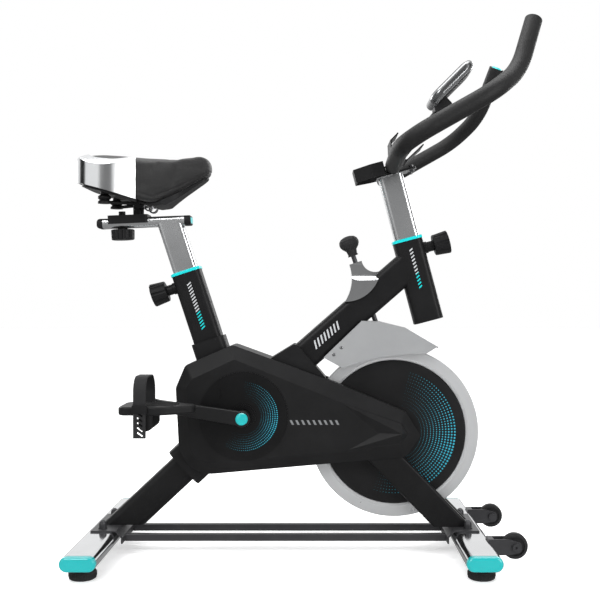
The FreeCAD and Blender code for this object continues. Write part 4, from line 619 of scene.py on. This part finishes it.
def cross_screw(radius, height):
    """Domed screw head with a cross recess, along Z."""
    bm = lathe([(0.0, 0.0), (radius, 0.0), (radius, height * 0.35), (radius * 0.82, height * 0.8),
                (radius * 0.45, height), (0.0, height)], 24)
    middle = [f for f in bm.faces if f.calc_center_median().z > height * 0.7]
    arms = [f for f in middle if round(math.degrees(bearing_of(f)) / 15) % 6 == 0]
    bmesh.ops.inset_region(bm, faces=arms, thickness=radius * 0.02, depth=-height * 0.35)
    return bm


def show(name, bm, finish, body, sharp=32):
    """Makes a finished piece at the origin, smooth up to a sharp angle, riding on its body."""
    mesh = bpy.data.meshes.new(name)
    bm.to_mesh(mesh)
    bm.free()
    return show_mesh(name, mesh, finish, body, sharp)


def show_mesh(name, mesh, finish, body, sharp=32):
    mesh.materials.clear()
    mesh.materials.append(MATERIALS[finish])
    mesh.shade_smooth()
    mesh.set_sharp_from_angle(angle=math.radians(sharp))
    piece = bpy.data.objects.new(name, mesh)
    bpy.context.scene.collection.objects.link(piece)
    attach(piece, body)
    return piece


def middle_of(node):
    low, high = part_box(node)
    return (low + high) / 2


def joined_copy(node):
    """A bmesh of a CAD node with its loose triangles merged."""
    bm = bmesh.new()
    bm.from_mesh(frame["nodes"][node].data)
    bmesh.ops.remove_doubles(bm, verts=bm.verts, dist=0.00001)
    return bm


class BIKE_OT_finishes(bpy.types.Operator):
    """Make every finish and put it on the CAD pieces"""
    bl_idname = "bike.finishes"
    bl_label = "Finishes"

    def execute(self, context):
        for build in (worn_surface, brushed_metal, pebble_grain, turned_rings, dot_fan, bar_marks):
            build()
        for build in (paint_materials, plastic_materials, soft_materials, metal_materials, display_materials):
            build(context.scene.bike_colours)
        for node, finish in NODE_FINISH.items():
            for place in frame["nodes"][node].material_slots:
                place.material = MATERIALS[finish]
        return {"FINISHED"}


def settle(piece, pressure, most, hold):
    """Swells a closed mesh by cloth pressure, never moving a point further than most."""
    scene = bpy.context.scene
    start = [vert.co.copy() for vert in piece.data.vertices]
    if hold:
        group = piece.vertex_groups.new(name="held")
        group.add(hold, 1.0, "REPLACE")
    cloth = piece.modifiers.new("Cloth", "CLOTH")
    cloth.settings.quality = 5
    cloth.settings.mass = 0.25
    cloth.settings.tension_stiffness = 12
    cloth.settings.compression_stiffness = 12
    cloth.settings.bending_stiffness = 2.0
    cloth.settings.use_pressure = True
    cloth.settings.uniform_pressure_force = pressure
    cloth.settings.effector_weights.gravity = 0
    if hold:
        cloth.settings.vertex_group_mass = "held"
    cloth.point_cache.frame_start = 1
    cloth.point_cache.frame_end = CLOTH_FRAMES
    for step in range(1, CLOTH_FRAMES + 1):
        scene.frame_set(step)
    moved = piece.evaluated_get(bpy.context.evaluated_depsgraph_get()).to_mesh()
    ends = [vert.co.copy() for vert in moved.vertices]
    piece.modifiers.clear()
    scene.frame_set(1)
    for vert, first, last in zip(piece.data.vertices, start, ends):
        shift = last - first
        if shift.length > most:
            shift = shift.normalized() * most
        vert.co = first + shift


def relax(bm, times):
    """Draw every corner halfway to its neighbours, so many times."""
    for _ in range(times):
        bmesh.ops.smooth_vert(bm, verts=bm.verts, factor=0.5, use_axis_x=True, use_axis_y=True,
                              use_axis_z=True)


class BIKE_OT_saddle(bpy.types.Operator):
    """Make the padded saddle with its seams"""
    bl_idname = "bike.saddle"
    bl_label = "Saddle pad"

    def execute(self, context):
        sizes = context.scene.bike_sizes
        mesh = bpy.data.meshes.new("saddle_pad")
        source = joined_copy("saddle_cushion")
        source.to_mesh(mesh)
        source.free()
        pad = bpy.data.objects.new("saddle_pad", mesh)
        context.scene.collection.objects.link(pad)
        remesh = pad.modifiers.new("Remesh", "REMESH")
        remesh.mode = "VOXEL"
        remesh.voxel_size = sizes.voxel
        gridded = bpy.data.meshes.new_from_object(pad.evaluated_get(context.evaluated_depsgraph_get()))
        pad.modifiers.clear()
        pad.data = gridded
        bm = bmesh.new()
        bm.from_mesh(gridded)
        relax(bm, 6)
        bm.normal_update()
        for vert in bm.verts:
            vert.co -= vert.normal * (sizes.swell * 0.25)
        bm.to_mesh(gridded)
        bm.free()
        low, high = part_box("saddle_cushion")
        keel = spot_of("saddle_tilt") + Vector((KEEL_AHEAD, 0, 0))
        nose_rise = (high.z - NOSE_THICK - low.z) / (high.x - keel.x)
        hold = [v.index for v in gridded.vertices if v.normal.z < -0.55]
        settle(pad, 4.0, sizes.swell, hold)
        bm = bmesh.new()
        bm.from_mesh(gridded)
        relax(bm, 5)
        bmesh.ops.subdivide_edges(bm, edges=bm.edges, cuts=1, use_grid_fill=True, smooth=0.6)
        bm.normal_update()
        for vert in bm.verts:
            x, y, z = vert.co
            edge = low.z + abs(x - keel.x) * (nose_rise if x > keel.x else TAIL_RISE)
            side = max(0.0, 1 - abs(vert.normal.z) / 0.75)
            seam = math.exp(-(((z - edge - sizes.seam) / 0.0022) ** 2)) * 0.0016 * side
            top = max(0.0, vert.normal.z)
            channel = math.exp(-((abs(y) - CHANNEL_OUT) / 0.0026) ** 2) * 0.0014 * top
            hollow = math.exp(-(y / 0.013) ** 2) * 0.0026 * top * (1 - abs((x - keel.x + 0.01) / 0.11) ** 4)
            vert.co -= vert.normal * (seam + channel + max(0.0, hollow))
        padding = bpy.data.meshes.new("saddle_pad")
        bm.to_mesh(padding)
        bm.free()
        bpy.data.objects.remove(pad)
        piece = show_mesh("saddle_pad", padding, "seat_cover", "saddle", 60)
        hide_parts("saddle_cushion")
        return {"FINISHED"}


class BIKE_OT_springs(bpy.types.Operator):
    """Wind the two springs under the saddle"""
    bl_idname = "bike.springs"
    bl_label = "Saddle springs"

    def execute(self, context):
        sizes = context.scene.bike_sizes
        pivot = spot_of("saddle_tilt")
        for side, name in ((-1, "right_spring"), (1, "left_spring")):
            spot = Vector((pivot.x + 0.022, side * 0.018, pivot.z - 0.007))
            spring = gather([(coil(sizes.wire, sizes.coil, 0.013, 4.0), facing(spot, (0, side, 0)))])
            show(name, spring, "bare_steel", "saddle")
        return {"FINISHED"}


class BIKE_OT_feet(bpy.types.Operator):
    """Make the ribbed levelling feet with their threaded stems"""
    bl_idname = "bike.feet"
    bl_label = "Levelling feet"

    def execute(self, context):
        sizes = context.scene.bike_sizes
        for node in ("rear_right_foot", "rear_left_foot", "front_right_foot", "front_left_foot"):
            low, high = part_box(node)
            spot = Vector(((low.x + high.x) / 2, (low.y + high.y) / 2, low.z))
            radius = (high.x - low.x) / 2 - sizes.rib
            foot = lathe([(0, 0), (radius - 0.003, 0), (radius, 0.002), (radius, 0.0055), (radius, 0.0125),
                          (radius - 0.0015, FOOT_HEIGHT - 0.0015), (radius - 0.006, FOOT_HEIGHT),
                          (0, FOOT_HEIGHT)], sizes.ribs * 2)
            belt = [f for f in foot.faces if 0.0056 < f.calc_center_median().z < 0.0124]
            turn = FULL_TURN / (sizes.ribs * 2)
            raised = [f for f in belt if round(bearing_of(f) / turn - 0.5) % 2 == 0]
            bmesh.ops.inset_individual(foot, faces=raised, thickness=0.0004, depth=sizes.rib)
            pad = gather([(foot, Matrix.Translation(spot))])
            piece = show(node + "_pad", pad, "rubber_black", node + "_unit")
            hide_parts(node)
            foot_top = FOOT_HEIGHT - 0.0002
            root = STEM_RADIUS - 0.0005
            stem = [(0, foot_top)]
            for i in range(int((STEM_TOP - foot_top) / THREAD_PITCH + 0.001)):
                base = foot_top + i * THREAD_PITCH
                stem += [(root, base), (STEM_RADIUS, base + THREAD_PITCH / 2)]
            stem += [(root, STEM_TOP), (0, STEM_TOP)]
            screw = gather([(lathe(stem, 24), Matrix.Translation(spot))])
            show(node + "_stem", screw, "bare_steel", node + "_unit")
        return {"FINISHED"}


class BIKE_OT_knobs(bpy.types.Operator):
    """Add end discs to the hand knobs"""
    bl_idname = "bike.knobs"
    bl_label = "Knob discs"

    def execute(self, context):
        for node, joint, body in (("seat_pin_knob", "seat_pin_pull", "seat_pin"),
                                  ("bar_pin_knob", "bar_pin_pull", "bar_pin")):
            away = axis_of(joint)
            points = corners_of(node)
            far = max(point.dot(away) for point in points)
            pin = spot_of(joint.replace("pull", "turn"))
            face = pin + away * (far - pin.dot(away) - 0.0012)
            disc = lathe([(0.0, 0.0), (KNOB_DISC, 0.0), (KNOB_DISC, 0.0012), (KNOB_DISC - 0.0007, 0.0018),
                          (KNOB_DISC - 0.0042, 0.0012), (0.0, 0.0012)], 40)
            ends = gather([(disc, facing(face, away))])
            show(node + "_disc", ends, "shroud_plastic", body)
        return {"FINISHED"}


class BIKE_OT_display(bpy.types.Operator):
    """Make the display's window, its glass, the button ring and the back shell"""
    bl_idname = "bike.display"
    bl_label = "Display"

    def execute(self, context):
        into = axis_of("button_press")
        out = -into
        up = Vector((-into.z, 0, into.x)).normalized()
        button = middle_of("console_button")
        points = corners_of("console_body")
        top = max(point.dot(up) for point in points)
        upper = [point.dot(out) for point in points if point.dot(up) > top - 0.03]
        face = max(upper)
        back = min(upper)
        turn = Matrix((Vector((0, 1, 0)), up, out)).transposed()
        if turn.determinant() < 0:
            turn = Matrix((Vector((0, -1, 0)), up, out)).transposed()

        def spot(along, across, level):
            place = turn.to_4x4()
            place.translation = up * along + out * level + Vector((0, across, 0))
            return place

        middle = top - CONSOLE_LENGTH / 2
        window = slab(*WINDOW, 0.0022, 0.017, 0.0008)
        window = gather([(window, spot(middle, 0, face - 0.0010))])
        show("display_window", window, "screen_gloss", "handlebar_unit")
        glass = slab(*GLASS, 0.0008, 0.004, 0.0003)
        show("display_glass", gather([(glass, spot(top - 0.036, 0, face + 0.0009))]), "display_glass",
             "handlebar_unit")
        ring = lathe([(0.0098, 0.0), (0.0122, 0.0), (0.0122, 0.0007), (0.0114, 0.0013), (0.0098, 0.0010),
                      (0.0098, 0.0)], 40)
        show("button_ring", gather([(ring, spot(button.dot(up), 0, face + 0.0009))]), "silver_plastic",
             "handlebar_unit")
        shell = slab(*BACK_SHELL, 0.0030, 0.018, 0.0022)
        flip = Matrix.Rotation(math.pi, 4, "X")
        show("display_back", gather([(shell, spot(middle, 0, back + 0.0012) @ flip)]), "black_plastic",
             "handlebar_unit")
        return {"FINISHED"}


class BIKE_OT_fasteners(bpy.types.Operator):
    """Add the guard's screws, the bar plate's bolts and the left shroud's screws"""
    bl_idname = "bike.fasteners"
    bl_label = "Fasteners"

    def execute(self, context):
        low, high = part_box("flywheel_guard")
        recesses = (Vector((low.x + 0.0203, 0, low.z + 0.027)), Vector((low.x + 0.0353, 0, low.z + 0.041)))
        screws = []
        for side in (-1, 1):
            for spot in recesses:
                place = facing(Vector((spot.x, side * (high.y - 0.0006), spot.z)), (0, side, 0))
                screws.append((cross_screw(0.0036, 0.0022), place))
        show("guard_screws", gather(screws), "bare_steel", "frame")
        up = axis_of("handlebar_height")
        ahead = Vector((up.z, 0, -up.x))
        points = corners_of("handlebar_post")
        plate = max(point.dot(up) for point in points)
        front = max(point.dot(ahead) for point in points)
        bolts = []
        for side in (-1, 1):
            spot = ahead * (front - 0.009) + up * plate + Vector((0, side * 0.019, 0))
            bolts.append((hex_bolt(0.0090, 0.0045, 0.0010), facing(spot, up)))
            bolts.append((hex_bolt(0.0090, 0.0040, 0.0010), facing(spot - up * 0.004, -up)))
        show("plate_bolts", gather(bolts), "dark_steel", "handlebar_unit")
        low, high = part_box("left_shroud")
        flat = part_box("crank_discs")[1].y - 0.0035
        middle = (low.z + high.z) / 2
        heads = [(cross_screw(0.0042, 0.0020), facing(Vector((low.x + x, flat, middle + z)), (0, 1, 0)))
                 for x, z in ((0.062, 0.030), (0.240, 0.020), (0.270, -0.050))]
        show("shroud_screws", gather(heads), "bare_steel", "frame")
        return {"FINISHED"}


class BIKE_OT_pedal_details(bpy.types.Operator):
    """Add tread ribs and strap buckles to both pedals"""
    bl_idname = "bike.pedal_details"
    bl_label = "Pedal details"

    def execute(self, context):
        for side, name in ((-1, "right"), (1, "left")):
            hub = spot_of(name + "_pedal_spin")
            low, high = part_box(name + "_pedal")
            inner = min(abs(low.y), abs(high.y))
            outer = max(abs(low.y), abs(high.y))
            ribs = []
            for i in range(TREAD_RIBS):
                y = side * (inner + 0.018 + i * (outer - inner - 0.036) / (TREAD_RIBS - 1))
                reach = 0.060 - abs(i - (TREAD_RIBS - 1) / 2) * 0.006
                rib = slab(reach + 0.030, 0.0034, 0.0016, 0.0016, 0.0006)
                ribs.append((rib, Matrix.Translation((hub.x + 0.012, y, high.z - 0.0004))))
            show(name + "_tread_ribs", gather(ribs), "rubber_black", name + "_pedal_unit")
            strap_low, strap_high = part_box(name + "_pedal_strap")
            edge = strap_high.y if side > 0 else strap_low.y
            buckle = slab(0.0275, 0.016, 0.0022, 0.002, 0.0006)
            place = facing(Vector(((strap_low.x + strap_high.x) / 2, edge - side * 0.0004, hub.z + 0.004)),
                           (0, side, 0))
            show(name + "_strap_buckle", gather([(buckle, place)]), "black_plastic", name + "_pedal_unit")
        return {"FINISHED"}


class BIKE_OT_rail_trim(bpy.types.Operator):
    """Add the accent disc on the saddle rail's front cap"""
    bl_idname = "bike.rail_trim"
    bl_label = "Rail trim"

    def execute(self, context):
        along = axis_of("saddle_slide")
        points = corners_of("rail_caps")
        far = max(point.dot(along) for point in points)
        ends = [point for point in points if point.dot(along) > far - 0.001]
        middle = sum(ends, Vector()) / len(ends)
        disc = slab(0.031, 0.0125, 0.0012, 0.0055, 0.0005)
        turn = facing(middle - along * 0.0005, along)
        show("rail_accent", gather([(disc, turn)]), "teal_plastic", "seat_post_unit")
        return {"FINISHED"}


class BIKE_OT_stage(bpy.types.Operator):
    """Make the floor, the soft lights and the camera"""
    bl_idname = "bike.stage"
    bl_label = "Studio"

    def execute(self, context):
        scene = context.scene
        floor = bmesh.new()
        bmesh.ops.create_grid(floor, x_segments=1, y_segments=1, size=14.0)
        mesh = bpy.data.meshes.new("studio_floor")
        floor.to_mesh(mesh)
        floor.free()
        g, shader, coords = start_material("studio_floor")
        tint = scene.bike_colours.floor
        cloud = g.noise(coords, 1.2, 3.0)
        g.feed(g.shade(cloud, tint, 0.985, 1.0), shader.inputs["Base Color"])
        shader.inputs["Roughness"].default_value = 0.6
        shader.inputs["Specular IOR Level"].default_value = 0.2
        shader.inputs["Emission Color"].default_value = (1.0, 1.0, 1.0, 1.0)
        shader.inputs["Emission Strength"].default_value = 0.38
        mirrored = g.add("ShaderNodeEmission", {"Color": (0.30, 0.30, 0.30, 1.0)})
        glossy = g.add("ShaderNodeLightPath").outputs["Is Glossy Ray"]
        mixed = g.add("ShaderNodeMixShader", {0: glossy, 1: shader.outputs[0], 2: mirrored.outputs[0]})
        g.feed(mixed.outputs[0], g.tree.nodes["Material Output"].inputs["Surface"])
        mesh.materials.append(MATERIALS["studio_floor"])
        ground = bpy.data.objects.new("studio_floor", mesh)
        scene.collection.objects.link(ground)
        world = bpy.data.worlds.new("studio")
        scene.world = world
        world.use_nodes = True
        sky = Graph(world.node_tree)
        world.node_tree.nodes.clear()
        path = sky.add("ShaderNodeLightPath").outputs
        level = sky.vector("MULTIPLY", sky.add("ShaderNodeTexCoord").outputs["Generated"], (1.0, 1.0, 0.0))
        level = sky.vector("NORMALIZE", level)
        ahead = sky.add("ShaderNodeSeparateXYZ", {0: level}).outputs["Y"]
        screens = sky.add("ShaderNodeValToRGB", {"Fac": sky.ramp(ahead, -1.0, 1.0)})
        ring = screens.color_ramp.elements
        ring[0].position, ring[0].color = 0.0, (0.20, 0.20, 0.20, 1.0)
        ring[1].position, ring[1].color = 1.0, (0.95, 0.95, 0.95, 1.0)
        for place, tone in ((0.035, 0.24), (0.09, 0.85), (0.24, 0.85), (0.31, 0.02), (0.52, 0.02),
                            (0.64, 0.95)):
            ring.new(place).color = (tone, tone, tone, 1.0)
        mirror = screens.outputs["Color"]
        diffuse = sky.math("SUBTRACT", 1.0, path["Is Glossy Ray"])
        unseen = sky.math("MULTIPLY_ADD", diffuse, sky.math("SUBTRACT", 0.75, mirror), mirror)
        strength = sky.math("MAXIMUM", unseen, path["Is Camera Ray"])
        back = sky.add("ShaderNodeBackground", {"Color": (1.0, 1.0, 1.0, 1.0), "Strength": strength})
        result = sky.add("ShaderNodeOutputWorld")
        sky.feed(back.outputs[0], result.inputs["Surface"])
        scene.view_settings.view_transform = "Standard"
        lamps = (("key", (-1.5, -2.3, 2.2), (1.3, 1.3), 42.0),
                 ("strip", (1.9, -2.0, 1.0), (0.35, 1.8), 26.0),
                 ("top", (0.0, 0.1, 2.7), (2.4, 1.2), 40.0),
                 ("left_back", (-1.9, 2.0, 1.4), (0.9, 1.6), 30.0),
                 ("right_back", (1.8, 2.2, 1.6), (0.9, 1.6), 30.0))
        for name, spot, size, power in lamps:
            light = bpy.data.lights.new(name, "AREA")
            light.shape = "RECTANGLE"
            light.size = size[0]
            light.size_y = size[1]
            light.energy = power
            lamp = bpy.data.objects.new(name, light)
            lamp.location = spot
            lamp.rotation_euler = (Vector((0, 0, 0.45)) - Vector(spot)).to_track_quat("-Z", "Y").to_euler()
            scene.collection.objects.link(lamp)
        lens = bpy.data.cameras.new("camera")
        lens.lens = 55.6
        lens.sensor_width = 36.0
        lens.shift_x = -0.035
        camera = bpy.data.objects.new("camera", lens)
        camera.location = (0.039, -1.900, 0.508)
        camera.rotation_euler = (math.pi / 2, 0, 0)
        scene.collection.objects.link(camera)
        scene.camera = camera
        return {"FINISHED"}


OPERATORS = (BIKE_OT_stage, BIKE_OT_finishes, BIKE_OT_saddle, BIKE_OT_springs, BIKE_OT_feet, BIKE_OT_knobs,
             BIKE_OT_display, BIKE_OT_fasteners, BIKE_OT_pedal_details, BIKE_OT_rail_trim)


class BIKE_PT_panel(bpy.types.Panel):
    """Lists the bike's sizes, colours and steps"""
    bl_idname = "BIKE_PT_panel"
    bl_label = "Exercise bike"
    bl_space_type = "VIEW_3D"
    bl_region_type = "UI"
    bl_category = "Bike"

    def draw(self, context):
        for group in (context.scene.bike_sizes, context.scene.bike_colours):
            for name in group.__annotations__:
                self.layout.prop(group, name)
        for operator in OPERATORS:
            self.layout.operator(operator.bl_idname)


CLASSES = (BikeColours, BikeSizes, *OPERATORS, BIKE_PT_panel)


def register():
    for cls in CLASSES:
        bpy.utils.register_class(cls)
    bpy.types.Scene.bike_colours = PointerProperty(type=BikeColours)
    bpy.types.Scene.bike_sizes = PointerProperty(type=BikeSizes)


def unregister():
    del bpy.types.Scene.bike_sizes
    del bpy.types.Scene.bike_colours
    for cls in reversed(CLASSES):
        bpy.utils.unregister_class(cls)


def main():
    register()
    for operator in OPERATORS:
        area, name = operator.bl_idname.split(".")
        getattr(getattr(bpy.ops, area), name)()


if __name__ == "__main__":
    main()
